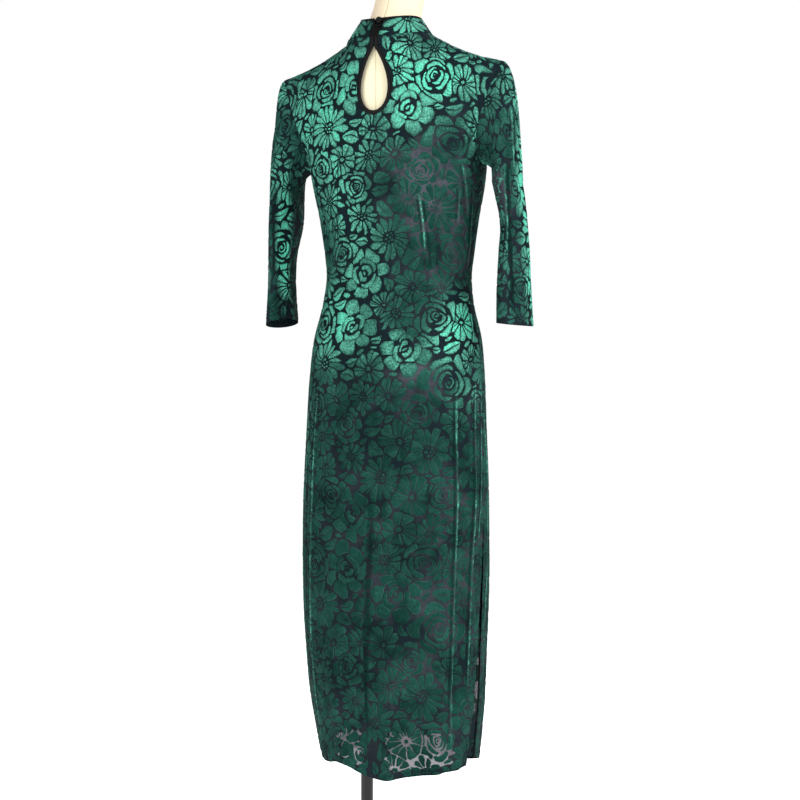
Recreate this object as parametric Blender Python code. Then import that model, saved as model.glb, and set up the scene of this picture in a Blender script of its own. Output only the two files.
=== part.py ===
"""Cheongsam dress with three-quarter sleeves, on a limbless dress form with a pole and a round base.

Frame: metres, +Z up, the wearer's front faces -Y and the wearer's left is +X. The origin is the
centre of the base's underside, where the pole stands. The dress and the form's body share a second
frame, whose origin stands on the floor at BODY_PLACE, because the pole is not on the body's middle.
Each cloth piece is a thin wall: its outer face is worked out from the section tables below, and its
inner face is the same face moved inwards by the cloth's thickness.
"""

import math

import bmesh
import bpy
import numpy as np

# ------------------------------------------------------------------ driving dimensions
BODY_PLACE = (-0.040, -0.045, 0.0)  # where the body's frame stands, seen from the pole's foot
CLOTH = 0.0015  # thickness of the dress cloth
LINING_CLOTH = 0.0010
SEAM_GAP = 0.0003  # between pieces that are sewn together or rest on each other
OVER_SEAM = 1.5  # gaps between a trim or the collar and the edge it stands on
HEM_HEIGHT = 0.188  # level of the dress hem above the floor
ARMPIT_HEIGHT = 1.186
SLIT_TOP = 0.630  # both side seams are open below this height
LINING_HEM = 0.262
LINING_TOP = 0.690
LINING_INSET = 0.0023  # from the dress's outer face to the lining's outer face
FORM_INSET = 0.0070  # from the dress's outer face to the form's surface
SHOULDER_REST = 0.0022  # the same distance on the shoulders, where the dress rests on the form
REST_FADE = 0.040  # width beside the neckline over which the form comes up to the shoulder seams
FORM_BOTTOM = 0.640
ARMHOLE_INSET = 0.008  # how far the form's armhole plates stand inside the armholes

NECK_CENTRE_Y = 0.031  # middle of the neckline's oval
NECK_HALF_WIDTH = 0.070
NECK_HALF_DEPTH = 0.073
NECK_HEIGHT = {"back": 1.390, "side": 1.402, "front": 1.350}
SHOULDER_TIP = (0.198, 0.036, 1.347)  # outer end of the shoulder seam
SHOULDER_DIP = 0.007  # how far the shoulder seam sags between neck and tip

ARMHOLE_CUT = {"back": 0.050, "front": 0.050}  # its depth into each panel from the side seam
ARMHOLE_ROUND = 0.75  # share of the armhole's height at which the cut is deepest
ARMHOLE_EASE = 1.2  # gaps between the panels' edge and the sleeve head's
SLEEVE_LEAVE = (0.052, 0.020, -0.013)  # how the sleeve head leaves: outwards, across the seam, up
SLEEVE_ARRIVE = 1.1  # how straight it comes down into the sleeve

COLLAR_TOP_CENTRE_Y = 0.031
COLLAR_TOP_HALF_WIDTH = 0.0520
COLLAR_TOP_HALF_DEPTH = 0.0580
COLLAR_RISE = {"back": 0.0305, "side": 0.0265, "front": 0.0400}
COLLAR_CLOTH = 0.0020
OPENING_EDGE = 0.0074  # the collar's and piping's ends, from the middle of the back
PIPING_HEIGHT = 0.0034  # piping along the collar's top edge
PIPING_WIDTH = 0.0036

KEYHOLE_BOTTOM = 1.269  # the teardrop opening at the centre of the back
KEYHOLE_TIP = 1.374
KEYHOLE_HALF_WIDTH = 0.0240
KEYHOLE_WIDEST = 0.34  # where it is widest, as a share of its height from the bottom
TEARDROP_EVEN = 0.45  # how evenly its points are spaced; 0 crowds them at both ends
SLIT_SHARES = (0.36, 0.70, 1.0)  # rows between the keyhole's tip and the neckline
BINDING_WIDTH = 0.0068
BINDING_PROUD = 0.0005  # how far the binding stands out of the cloth's outer face
BINDING_THICK = 0.0026
BUTTON_RADIUS = 0.0056
BUTTON_SIDE = -0.0060  # the button sits on the wearer's right end of the collar
BUTTON_SHARE = 0.80  # its height on the collar, as a share
LOOP_RADIUS = 0.0012
LOOP_STRETCH = 1.35  # how far the loop reaches over to the other end
LOOP_SEAT = 1.05  # the loop's height over the collar, as a share of its cord's radius

POLE_RADIUS = 0.0102
BASE_RADIUS = 0.180
BASE_THICK = 0.009
FLANGE_RADIUS = 0.034
FLANGE_HEIGHT = 0.020
FLANGE_BEVEL = 0.003
NECK_CAP_HEIGHT = 0.008
NECK_CAP_BEVEL = 0.002

BACK_COLUMNS = 24  # cloth faces across the back panel, an even number
FRONT_COLUMNS = 24
LOWER_ROWS = 21  # cloth faces from the hem to the armpit
TEARDROP_ROWS = 9
SLEEVE_CAP_ROWS = 6
SLEEVE_TUBE_ROWS = 7
COLLAR_ROWS = 3
BINDING_COLLAR_ROWS = 4
CORD_SIDES = 6  # of the piping and the loop
LOOP_TURNS = 20
LINING_COLUMNS = 12
LINING_ROWS = 9
FORM_ROWS = 12
FORM_CLIMBS = (0.10, 0.22, 0.35, 0.48, 0.61, 0.74, 0.87, 1.0)
HALF_BACK_WIDTH = 0.145  # of the upper back, for spreading columns round the keyhole
NECK_POINT = 0.5  # where across a panel its shoulder seam meets the neckline
NECK_POINT_SPREAD = 0.30  # how far the corner there is softened towards the armpits

# The dress's outer face, as level sections. Depths are from the section's own centre.
BODY_SECTIONS = (
    # height, half width, front depth, back depth, centre y, squareness
    (0.150, 0.1265, 0.0930, 0.0960, 0.002, 2.15),
    (0.215, 0.1350, 0.0980, 0.1010, 0.005, 2.15),
    (0.255, 0.1405, 0.1010, 0.1040, 0.009, 2.15),
    (0.300, 0.1465, 0.1040, 0.1070, 0.014, 2.15),
    (0.376, 0.1515, 0.1080, 0.1120, 0.019, 2.15),
    (0.457, 0.1555, 0.1100, 0.1150, 0.021, 2.15),
    (0.558, 0.1575, 0.1120, 0.1170, 0.020, 2.15),
    (0.659, 0.1575, 0.1140, 0.1180, 0.016, 2.15),
    (0.760, 0.1535, 0.1150, 0.1160, 0.016, 2.15),
    (0.840, 0.1500, 0.1110, 0.1100, 0.014, 2.15),
    (0.901, 0.1445, 0.1040, 0.1010, 0.012, 2.15),
    (0.961, 0.1300, 0.0960, 0.0900, 0.010, 2.15),
    (1.012, 0.1255, 0.0910, 0.0840, 0.006, 2.15),
    (1.042, 0.1290, 0.0930, 0.0850, 0.005, 2.15),
    (1.103, 0.1375, 0.1070, 0.0900, 0.007, 2.15),
    (1.163, 0.1480, 0.1240, 0.0930, 0.012, 2.20),
    (1.200, 0.1530, 0.1220, 0.0930, 0.015, 2.25),
)

# Soft standing folds, each one a ridge that follows the cloth upwards.
FOLDS = (
    # panel, place across, half width across, lowest, highest, proud
    ("back", -0.64, 0.110, 0.10, 0.74, 0.0060),
    ("back", -0.85, 0.100, 0.10, 0.80, 0.0045),
    ("back", -0.20, 0.110, 0.10, 0.42, 0.0045),
    ("back", 0.30, 0.120, 0.10, 0.46, 0.0050),
    ("back", 0.90, 0.090, 0.10, 0.72, 0.0050),
    ("back", -0.38, 0.085, 0.98, 1.17, 0.0030),
    ("back", 0.38, 0.085, 0.98, 1.17, 0.0030),
    ("front", -0.78, 0.100, 0.10, 0.70, 0.0050),
    ("front", -0.15, 0.120, 0.10, 0.40, 0.0045),
    ("front", 0.32, 0.120, 0.10, 0.48, 0.0045),
    ("front", 0.80, 0.100, 0.10, 0.72, 0.0050),
)

FOLD_FADE = 0.35  # share of a fold's height over which it rises or dies away

# How far each side edge stands back from the side seam at the hem. It shrinks to nothing at SLIT_TOP.
SLIT_OPENING = {
    # panel: (wearer's right edge, wearer's left edge)
    "back": (0.024, 0.003),
    "front": (0.002, 0.003),
}

# How far the hem hangs above its level, across each panel from the wearer's right to the left.
HEM_RISE = {
    # panel: (across, rise) pairs
    "back": (
        (-1.0, 0.015),
        (-0.75, 0.009),
        (-0.4, 0.003),
        (-0.15, -0.005),
        (0.1, 0.004),
        (0.3, 0.016),
        (0.55, 0.011),
        (0.8, 0.016),
        (1.0, 0.026),
    ),
    "front": ((-1.0, 0.026), (-0.6, 0.006), (0.0, 0.000), (0.6, 0.004), (1.0, 0.024)),
}

HEM_FADE = 0.22  # share of the height below the armpits over which the hem's rise dies away

# Level sections of the sleeves. centre x is the distance from the body's middle.
SLEEVE_SECTIONS = {
    "left": (
        # height, centre x, centre y, half width, half depth
        (1.150, 0.2040, 0.018, 0.0185, 0.0530),
        (1.110, 0.2055, 0.018, 0.0180, 0.0540),
        (1.042, 0.2130, 0.018, 0.0150, 0.0440),
        (1.000, 0.2140, 0.018, 0.0145, 0.0425),
        (0.960, 0.2140, 0.018, 0.0155, 0.0460),
        (0.925, 0.2140, 0.018, 0.0170, 0.0500),
    ),
    "right": (
        (1.150, 0.1990, 0.018, 0.0180, 0.0460),
        (1.133, 0.2025, 0.018, 0.0175, 0.0460),
        (1.093, 0.2094, 0.018, 0.0155, 0.0445),
        (1.035, 0.2105, 0.018, 0.0190, 0.0505),
        (0.976, 0.2105, 0.018, 0.0225, 0.0530),
        (0.920, 0.2120, 0.018, 0.0245, 0.0550),
    ),
}
SLEEVE_DENT = {
    # side: (angle from the inner side through the back, half width of the dent, depth)
    "left": (math.radians(42), math.radians(34), 0.0060),
    "right": (math.radians(128), math.radians(30), 0.0070),
}
DENT_FADE = 0.08  # height over which a dent deepens below the sleeve head
CUFF_RISE = {"left": 0.014, "right": 0.004}  # how much higher the cuff's inner side hangs

# The form's neck above the neckline, as level ovals.
NECK_SECTIONS = (
    # height, half width, half depth, centre y
    (1.412, 0.0450, 0.0440, 0.031),
    (1.432, 0.0425, 0.0435, 0.021),
    (1.462, 0.0410, 0.0430, 0.004),
    (1.492, 0.0400, 0.0420, -0.008),
)

FINISHES = {
    # finish: (colour, roughness, metallic)
    "velvet": ((0.010, 0.120, 0.070), 0.60, 0.0),
    "lining": ((0.020, 0.020, 0.024), 0.80, 0.0),
    "binding": ((0.012, 0.011, 0.013), 0.60, 0.0),
    "form_cover": ((0.900, 0.860, 0.740), 0.90, 0.0),
    "black_enamel": ((0.030, 0.030, 0.032), 0.35, 0.9),
}
SHARP_ANGLE = math.radians(40)
SECTION_POINTS = 121  # along half a level section, where lengths across it are measured


# ------------------------------------------------------------------ helpers for sections
def read_table(table, height):
    """The columns of a section table at a height, through a smooth curve."""
    rows = sorted(row[:] for row in table)
    heights = np.array([row[0] for row in rows])
    values = np.array([row[1:] for row in rows])
    slopes = np.gradient(values, heights, axis=0)
    height = min(max(height, heights[0]), heights[-1])
    i = int(np.clip(np.searchsorted(heights, height) - 1, 0, len(rows) - 2))
    step = heights[i + 1] - heights[i]
    u = (height - heights[i]) / step
    return (
        (2 * u**3 - 3 * u**2 + 1) * values[i]
        + (u**3 - 2 * u**2 + u) * step * slopes[i]
        + (3 * u**2 - 2 * u**3) * values[i + 1]
        + (u**3 - u**2) * step * slopes[i + 1]
    )


def smooth_step(value):
    value = min(max(value, 0.0), 1.0)
    return value * value * (3 - 2 * value)


def oval(angle, half_width, half_depth, centre_y, squareness=2.0):
    """A point of a level oval; angle 0 is at +X and a quarter turn is at the back, +Y."""
    power = 2.0 / squareness
    across = math.copysign(abs(math.cos(angle)) ** power, math.cos(angle))
    along = math.copysign(abs(math.sin(angle)) ** power, math.sin(angle))
    return np.array([half_width * across, centre_y + half_depth * along])


def half_section(height, panel):
    """Points of one panel's half of a body section, from the wearer's right to the left."""
    half_width, front, back, centre_y, squareness = read_table(BODY_SECTIONS, height)
    sign = 1 if panel == "back" else -1
    depth = back if panel == "back" else front
    angles = np.linspace(math.pi, 0, SECTION_POINTS) * sign
    return np.array([oval(a, half_width, depth, centre_y, squareness) for a in angles])


def across_section(height, panel, across, margins=(0.0, 0.0)):
    """The point at a place across a panel, -1 to 1 by length, kept off the side seams by margins."""
    points = half_section(height, panel)
    lengths = np.concatenate([[0], np.cumsum(np.linalg.norm(np.diff(points, axis=0), axis=1))])
    low, high = margins[0], lengths[-1] - margins[1]
    at = low + (high - low) * (across + 1) / 2
    x, y = (np.interp(at, lengths, points[:, k]) for k in range(2))
    return np.array([x, y, height])


def neckline(angle):
    """A point of the neckline; angle 0 is at +X and a quarter turn is at the centre back."""
    x, y = oval(angle, NECK_HALF_WIDTH, NECK_HALF_DEPTH, NECK_CENTRE_Y)
    end = NECK_HEIGHT["back" if math.sin(angle) > 0 else "front"]
    rise = 1 - math.cos(angle) ** 2
    return np.array([x, y, NECK_HEIGHT["side"] + (end - NECK_HEIGHT["side"]) * rise])


def top_edge(panel, across):
    """The panel's upper edge: the neckline in the middle and a shoulder seam on either side."""
    side, place = math.copysign(1, across), abs(across)
    sign = 1 if panel == "back" else -1
    if place <= NECK_POINT:
        angle = (math.pi / 2) * (1 - place / NECK_POINT)
        point = neckline(sign * angle)
        return point * np.array([side, 1, 1])
    share = (place - NECK_POINT) / (1 - NECK_POINT)
    tip = np.array(SHOULDER_TIP)
    point = neckline(0.0) * (1 - share) + tip * share
    point[2] -= SHOULDER_DIP * math.sin(math.pi * share)
    return point * np.array([side, 1, 1])


def upper_surface(panel, across, climb):
    """The panel above the armpits, turning from the armpit section over to its upper edge.
    Its side edges are the armhole, which cuts into the panel in a round from the armpit."""
    turn = climb * math.pi / 2
    level, lift = 1 - math.cos(turn), math.sin(turn)
    bow = math.sqrt(1 - (1 - min(1.0, lift / ARMHOLE_ROUND)) ** 2)
    cut = bow * ARMHOLE_CUT[panel]
    start = across_section(ARMPIT_HEIGHT, panel, across, (cut, cut))
    spread = min(NECK_POINT_SPREAD * (1 - climb), 1 - abs(across))
    end = sum(top_edge(panel, across + spread * k) for k in (-1, -0.5, 0, 0.5, 1)) / 5
    return start + (end - start) * np.array([lift, level, lift])


def fold_proud(panel, across, height):
    """How far the cloth stands out in soft folds at a place."""
    proud = 0.0
    for where, centre, half, low, high, most in FOLDS:
        if where == panel and abs(across - centre) < half and low < height < high:
            shape = math.cos((across - centre) / half * math.pi / 2) ** 2
            fade = smooth_step((high - height) / (FOLD_FADE * (high - low)))
            if low > HEM_HEIGHT:
                fade *= smooth_step((height - low) / (FOLD_FADE * (high - low)))
            proud += most * shape * fade
    return proud


def lower_surface(panel, across, share):
    """The panel below the armpits; share goes from 0 at the hem to 1 at the armpit."""
    places, rises = zip(*HEM_RISE[panel])
    rise = np.interp(across, places, rises) * (1 - smooth_step(share / HEM_FADE))
    height = HEM_HEIGHT + (ARMPIT_HEIGHT - HEM_HEIGHT) * share + rise
    opening = max(0.0, (SLIT_TOP - height) / (SLIT_TOP - HEM_HEIGHT))
    margins = [width * opening for width in SLIT_OPENING[panel]]
    point = across_section(height, panel, across, margins)
    centre_y = read_table(BODY_SECTIONS, height)[3]
    away = point - np.array([0.0, centre_y, height])
    point += away / np.linalg.norm(away) * fold_proud(panel, across, height)
    return point


# ------------------------------------------------------------------ keyhole
def teardrop_edge():
    """One side of the keyhole's edge from its bottom to the neckline, as (x, height) pairs."""
    rows = []
    tall = KEYHOLE_TIP - KEYHOLE_BOTTOM
    fall = 0.5 * (1 - KEYHOLE_WIDEST) / KEYHOLE_WIDEST
    for i in range(TEARDROP_ROWS + 1):
        even = i / TEARDROP_ROWS
        crowded = (1 - math.cos(math.pi * even)) / 2
        share = crowded + (even - crowded) * TEARDROP_EVEN
        narrow = (share / KEYHOLE_WIDEST) ** 0.5 * ((1 - share) / (1 - KEYHOLE_WIDEST)) ** fall
        rows.append((KEYHOLE_HALF_WIDTH * narrow + SEAM_GAP * share, KEYHOLE_BOTTOM + tall * share))
    return rows


def climb_at(height):
    """How far up the upper surface the centre back reaches a height."""
    return math.asin((height - ARMPIT_HEIGHT) / (NECK_HEIGHT["back"] - ARMPIT_HEIGHT)) * 2 / math.pi


def slit_climbs():
    """Rows between the keyhole's tip and the neckline."""
    low = climb_at(KEYHOLE_TIP)
    return [low + (1 - low) * share for share in SLIT_SHARES]


def keyhole_rows(distance):
    """The keyhole's edge moved into the cloth by a distance, as (x, height) pairs, one for each row."""
    edge = teardrop_edge()
    tall = NECK_HEIGHT["back"] - ARMPIT_HEIGHT
    edge += [(SEAM_GAP, ARMPIT_HEIGHT + tall * math.sin(c * math.pi / 2)) for c in slit_climbs()]
    moved = []
    for i, (x, height) in enumerate(edge):
        before = edge[i - 1] if i else (-edge[1][0], edge[1][1])
        after = edge[i + 1] if i + 1 < len(edge) else (x, height + 1)
        into = np.array(after) - np.array([x, height])
        out_of = np.array([x, height]) - np.array(before)
        along = into / np.linalg.norm(into) + out_of / np.linalg.norm(out_of)
        along /= np.linalg.norm(along)
        if i == 0:
            along = np.array([1.0, 0.0])
        moved.append((x + distance * along[1], height - distance * along[0]))
    moved[-1] = (moved[-1][0], NECK_HEIGHT["back"])
    return moved


def back_at(x, height):
    """The point of the back's upper surface over x in the row of this height, and its outward way."""
    across, climb = x / HALF_BACK_WIDTH, climb_at(min(height, NECK_HEIGHT["back"]))
    step = 1e-4
    for _ in range(5):
        here = upper_surface("back", across, climb)
        by_across = (upper_surface("back", across + step, climb) - here) / step
        across += (x - here[0]) / by_across[0]
    by_climb = upper_surface("back", across, climb - step) - here
    normal = np.cross(by_across, by_climb)
    normal[0] = 0.0
    return here, normal / np.linalg.norm(normal)


# ------------------------------------------------------------------ helpers for meshes
def add_material(piece, finish):
    colour, roughness, metallic = FINISHES[finish]
    material = bpy.data.materials.get(finish) or bpy.data.materials.new(finish)
    material.use_nodes = True
    shader = material.node_tree.nodes["Principled BSDF"]
    shader.inputs["Base Color"].default_value = (*colour, 1.0)
    shader.inputs["Roughness"].default_value = roughness
    shader.inputs["Metallic"].default_value = metallic
    piece.data.materials.append(material)


def add_object(name, built, finish, parent=None, location=(0, 0, 0)):
    """An object made from a bmesh, which it uses up. Its faces are turned to point outwards."""
    bmesh.ops.recalc_face_normals(built, faces=built.faces)
    mesh = bpy.data.meshes.new(name)
    built.to_mesh(mesh)
    built.free()
    mesh.shade_smooth()
    mesh.set_sharp_from_angle(angle=SHARP_ANGLE)
    piece = bpy.data.objects.new(name, mesh)
    bpy.context.scene.collection.objects.link(piece)
    piece.location = location
    piece.parent = parent
    add_material(piece, finish)
    return piece


def add_piece(name, points, faces, finish, parent=None):
    """An object made from points and faces."""
    built = bmesh.new()
    verts = [built.verts.new(tuple(map(float, point))) for point in points]
    for face in faces:
        built.faces.new([verts[i] for i in face])
    return add_object(name, built, finish, parent)


def face_normals(points, faces):
    """Outward directions at each point of a surface made of quads."""
    normals = np.zeros_like(points)
    for face in faces:
        a, b, c, d = (points[i] for i in face)
        normals[list(face)] += np.cross(c - a, d - b)
    return normals / np.linalg.norm(normals, axis=1, keepdims=True)


def wall(points, faces, normals, thickness):
    """A closed wall between a surface and the same surface moved inwards."""
    count = len(points)
    both = np.concatenate([points, points - normals * thickness])
    halves = [half for a, b, c, d in faces for half in ((a, b, c), (a, c, d))]
    closed = halves + [tuple(i + count for i in reversed(half)) for half in halves]
    uses = {}
    for face in faces:
        for a, b in zip(face, face[1:] + face[:1]):
            uses[frozenset((a, b))] = (a, b, frozenset((a, b)) in uses)
    rim = [(b, a, a + count, b + count) for a, b, twice in uses.values() if not twice]
    return both, closed + rim


def grid_faces(rows, columns, index):
    """The quads of a grid whose points are numbered by index(row, column)."""
    return [
        (index(r, c), index(r, c + 1), index(r + 1, c + 1), index(r + 1, c))
        for r in range(rows)
        for c in range(columns)
    ]


# ------------------------------------------------------------------ dress body
def upper_climbs():
    """The rows of both panels above the armpit, shared with the keyhole's edge."""
    notch = [climb_at(height) for _, height in keyhole_rows(BINDING_WIDTH + SEAM_GAP)]
    first = notch[0]
    return [first / 3, first * 2 / 3] + notch


def panel_rows():
    """Each row of a panel as ("lower" or "upper", share)."""
    lower = [("lower", i / LOWER_ROWS) for i in range(LOWER_ROWS + 1)]
    return lower + [("upper", climb) for climb in upper_climbs()]


def surface_point(panel, zone, across, share):
    if zone == "lower":
        return lower_surface(panel, across, share)
    return upper_surface(panel, across, share)


def seam_normals(points, normals, panel, places):
    """Keeps both panels' cut edges facing each other where they are sewn together, and the back's
    middle facing straight back."""
    for i, (across, zone, share) in places.items():
        on_side = abs(across) == 1 and zone == "lower"
        on_shoulder = zone == "upper" and share >= 1 and abs(across) >= NECK_POINT
        if on_side or on_shoulder:
            normals[i][1] = 0.0
        if across == 0 and panel == "back":
            normals[i][0] = 0.0
        normals[i] /= np.linalg.norm(normals[i])
    points[:, 1] += SEAM_GAP / 2 * (1 if panel == "back" else -1)


def front_surface():
    rows = panel_rows()
    places = {}
    points = []
    for zone, share in rows:
        for c in range(FRONT_COLUMNS + 1):
            across = 2 * c / FRONT_COLUMNS - 1
            places[len(points)] = (across, zone, share)
            points.append(surface_point("front", zone, across, share))
    width = FRONT_COLUMNS + 1
    faces = grid_faces(len(rows) - 1, FRONT_COLUMNS, lambda r, c: r * width + c)
    return np.array(points), faces, places


def parted(place, edge_x):
    """Where a column of the back lies once the middle has parted to edge_x; the shoulders stay."""
    edge = edge_x / HALF_BACK_WIDTH
    if place >= NECK_POINT:
        return place
    return edge + (NECK_POINT - edge) * place / NECK_POINT


def back_surface():
    """The back, whose middle column parts in two round the keyhole."""
    rows = panel_rows()
    half = BACK_COLUMNS // 2
    notch = keyhole_rows(BINDING_WIDTH + SEAM_GAP)
    notch_start = len(rows) - len(notch)
    places, points, numbers = {}, [], {}
    for r, (zone, share) in enumerate(rows):
        for side in (-1, 1):
            for c in range(half + 1):
                if c == 0 and side == 1 and r <= notch_start:
                    numbers[r, side, c] = numbers[r, -1, 0]
                    continue
                place = c / half
                numbers[r, side, c] = len(points)
                if r <= notch_start:
                    point = surface_point("back", zone, side * place, share)
                elif c == 0:
                    x, height = notch[r - notch_start]
                    point, _ = back_at(side * x, height)
                else:
                    place = parted(place, notch[r - notch_start][0])
                    point = surface_point("back", zone, side * place, share)
                places[len(points)] = (side * place, zone, share)
                points.append(point)
    faces = []
    for side in (-1, 1):
        part = grid_faces(len(rows) - 1, half, lambda r, c: numbers[r, side, c])
        faces += part if side == -1 else [tuple(reversed(f)) for f in part]
    return np.array(points), faces, places


def add_panel(name, surface, panel, parent):
    points, faces, places = surface
    normals = face_normals(points, faces)
    seam_normals(points, normals, panel, places)
    add_piece(name, *wall(points, faces, normals, CLOTH), "velvet", parent)
    return {places[i]: (points[i], normals[i]) for i in places}


# ------------------------------------------------------------------ sleeves
def armhole_ring(side, panels):
    """The armhole's points and directions, from the armpit up the back and down the front."""
    climbs = [0.0] + upper_climbs()
    ring = []
    for panel, order in (("back", climbs), ("front", climbs[::-1])):
        for climb in order:
            key = (float(side), "upper", climb) if climb else (float(side), "lower", 1.0)
            ring.append((panel, climb, *panels[panel][key]))
    merged = []
    for panel, climb, point, normal in ring:
        if panel == "front" and climb in (0.0, 1.0):
            continue
        if climb in (0.0, 1.0):
            point = point - np.array([0, SEAM_GAP / 2, 0])
        merged.append((point, normal))
    return merged


def add_sleeve(name, side_name, panels, parent):
    side = 1 if side_name == "left" else -1
    ring = armhole_ring(side, panels)
    count = len(ring)
    base = np.array([p for p, _ in ring])
    base_normals = np.array([n for _, n in ring])
    along = np.roll(base, -1, axis=0) - np.roll(base, 1, axis=0)
    away = np.cross(base_normals, along) * side
    away /= np.linalg.norm(away, axis=1, keepdims=True)
    start = base + away * SEAM_GAP * ARMHOLE_EASE
    table = SLEEVE_SECTIONS[side_name]
    first, last = table[0][0], table[-1][0]
    lengths = np.concatenate([[0], np.cumsum(np.linalg.norm(along / 2, axis=1))])
    angles = 2 * math.pi * lengths[:-1] / lengths[-1]
    dent_at, dent_half, dent_deep = SLEEVE_DENT[side_name]

    def tube(angle, height):
        centre_x, centre_y, half_width, half_depth = read_table(table, height)
        off = abs((angle - dent_at + math.pi) % (2 * math.pi) - math.pi)
        dent = dent_deep * math.cos(min(off / dent_half, 1) * math.pi / 2) ** 2
        share = smooth_step((first - height) / DENT_FADE)
        scale = 1 - dent * share / half_width
        x = centre_x - half_width * math.cos(angle) * scale
        y = centre_y + half_depth * math.sin(angle) * (1 - dent * share / half_depth)
        inner = 0.5 + 0.5 * math.cos(angle)
        rise = CUFF_RISE[side_name] * inner * smooth_step((first - height) / (first - last))
        return np.array([side * x, y, height + rise])

    outwards, across_seam, upwards = SLEEVE_LEAVE
    points = [start]
    for r in range(1, SLEEVE_CAP_ROWS + 1):
        u = r / SLEEVE_CAP_ROWS
        row = []
        for i in range(count):
            end = tube(angles[i], first)
            reach = np.linalg.norm(end - start[i])
            leave = away[i] * across_seam + np.array([side * outwards, 0, upwards])
            arrive = np.array([0, 0, -reach * SLEEVE_ARRIVE])
            row.append(
                (2 * u**3 - 3 * u**2 + 1) * start[i]
                + (u**3 - 2 * u**2 + u) * leave
                + (3 * u**2 - 2 * u**3) * end
                + (u**3 - u**2) * arrive
            )
        points.append(np.array(row))
    for r in range(1, SLEEVE_TUBE_ROWS + 1):
        height = first + (last - first) * r / SLEEVE_TUBE_ROWS
        points.append(np.array([tube(angle, height) for angle in angles]))
    points = np.concatenate(points)
    rows = SLEEVE_CAP_ROWS + SLEEVE_TUBE_ROWS
    faces = grid_faces(rows, count, lambda r, c: r * count + c % count)
    if side < 0:
        faces = [tuple(reversed(f)) for f in faces]
    normals = face_normals(points, faces)
    normals[:count] = base_normals
    add_piece(name, *wall(points, faces, normals, CLOTH), "velvet", parent)


# ------------------------------------------------------------------ collar and trims
def blend_round(values, angle):
    """A value that changes round the neck from the side to the back or the front."""
    end = values["back" if math.sin(angle) > 0 else "front"]
    return values["side"] + (end - values["side"]) * math.sin(angle) ** 2


def collar_point(angle, share):
    """The collar's outer face; share goes from 0 at the neckline to 1 at its top edge."""
    low = neckline(angle) + np.array([0, 0, SEAM_GAP * OVER_SEAM])
    x, y = oval(angle, COLLAR_TOP_HALF_WIDTH, COLLAR_TOP_HALF_DEPTH, COLLAR_TOP_CENTRE_Y)
    high = np.array([x, y, low[2] + blend_round(COLLAR_RISE, angle)])
    return low + (high - low) * share


def collar_normal(angle):
    """The collar's outward direction, which is the same all the way up."""
    step = 1e-3
    round_it = collar_point(angle + step, 0.5) - collar_point(angle - step, 0.5)
    up = collar_point(angle, 1.0) - collar_point(angle, 0.0)
    normal = np.cross(round_it, up)
    return normal / np.linalg.norm(normal)


def collar_angles():
    """Angles round the neckline at the panels' own columns, from the wearer's left of the back
    opening through the front to its right."""
    back_count, front_count = BACK_COLUMNS // 4, FRONT_COLUMNS // 4
    places = [parted(2 * c / BACK_COLUMNS, OPENING_EDGE) for c in range(back_count)]
    back = [math.pi / 2 * (1 - place / NECK_POINT) for place in places]
    front = [-math.pi / 2 * c / front_count for c in range(front_count)]
    left = back + front
    return left + [-math.pi / 2] + [-math.pi - angle for angle in reversed(left)]


def at_opening(point, i, count):
    """Squares off the first and last point of a strip round the neck at the back opening."""
    if i in (0, count - 1):
        point[0] = math.copysign(OPENING_EDGE, point[0])
    return point


def add_collar(parent):
    angles = collar_angles()
    points, normals = [], []
    for r in range(COLLAR_ROWS + 1):
        for i, angle in enumerate(angles):
            points.append(at_opening(collar_point(angle, r / COLLAR_ROWS), i, len(angles)))
            normals.append(collar_normal(angle))
    faces = grid_faces(COLLAR_ROWS, len(angles) - 1, lambda r, c: r * len(angles) + c)
    cloth = wall(np.array(points), faces, np.array(normals), COLLAR_CLOTH)
    add_piece("collar", *cloth, "velvet", parent)


def add_piping(parent):
    """A rounded cord along the collar's top edge, open at the centre back."""
    sides = CORD_SIDES
    angles = collar_angles()
    points = []
    for i, angle in enumerate(angles):
        normal = collar_normal(angle)
        top = at_opening(collar_point(angle, 1.0), i, len(angles))
        up = np.array([0.0, 0.0, 1.0])
        up -= normal * normal[2]
        up /= np.linalg.norm(up)
        centre = top - normal * COLLAR_CLOTH / 2 + up * (SEAM_GAP * OVER_SEAM + PIPING_HEIGHT / 2)
        for k in range(sides):
            turn = 2 * math.pi * (k + 0.5) / sides
            reach = 1 / math.cos(math.pi / sides)
            points.append(
                centre
                + normal * PIPING_WIDTH / 2 * math.cos(turn) * reach
                + up * PIPING_HEIGHT / 2 * math.sin(turn)
            )
    count = len(angles) - 1
    faces = grid_faces(count, sides, lambda r, c: r * sides + c % sides)
    faces.append(tuple(range(sides)))
    faces.append(tuple(count * sides + k for k in reversed(range(sides))))
    add_piece("collar_piping", points, faces, "binding", parent)


def binding_path():
    """The binding's middle line with its outward directions, from the collar's top round the keyhole."""
    inner = keyhole_rows(0.0)
    outer = keyhole_rows(BINDING_WIDTH)
    half = []
    for (x0, h0), (x1, h1) in zip(inner, outer):
        near, normal = back_at(x0, h0)
        far, _ = back_at(x1, h1)
        half.append((near, far, normal))
    half.pop()
    normal = collar_normal(math.pi / 2)
    for i in range(BINDING_COLLAR_ROWS + 1):
        middle = collar_point(math.pi / 2, i / BINDING_COLLAR_ROWS)
        near = middle + np.array([SEAM_GAP, 0, 0])
        far = middle + np.array([SEAM_GAP + BINDING_WIDTH, 0, 0])
        half.append((near, far, normal))
    mirror = np.array([-1, 1, 1])
    other = [(near * mirror, far * mirror, normal * mirror) for near, far, normal in half[:0:-1]]
    return other + half


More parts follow.
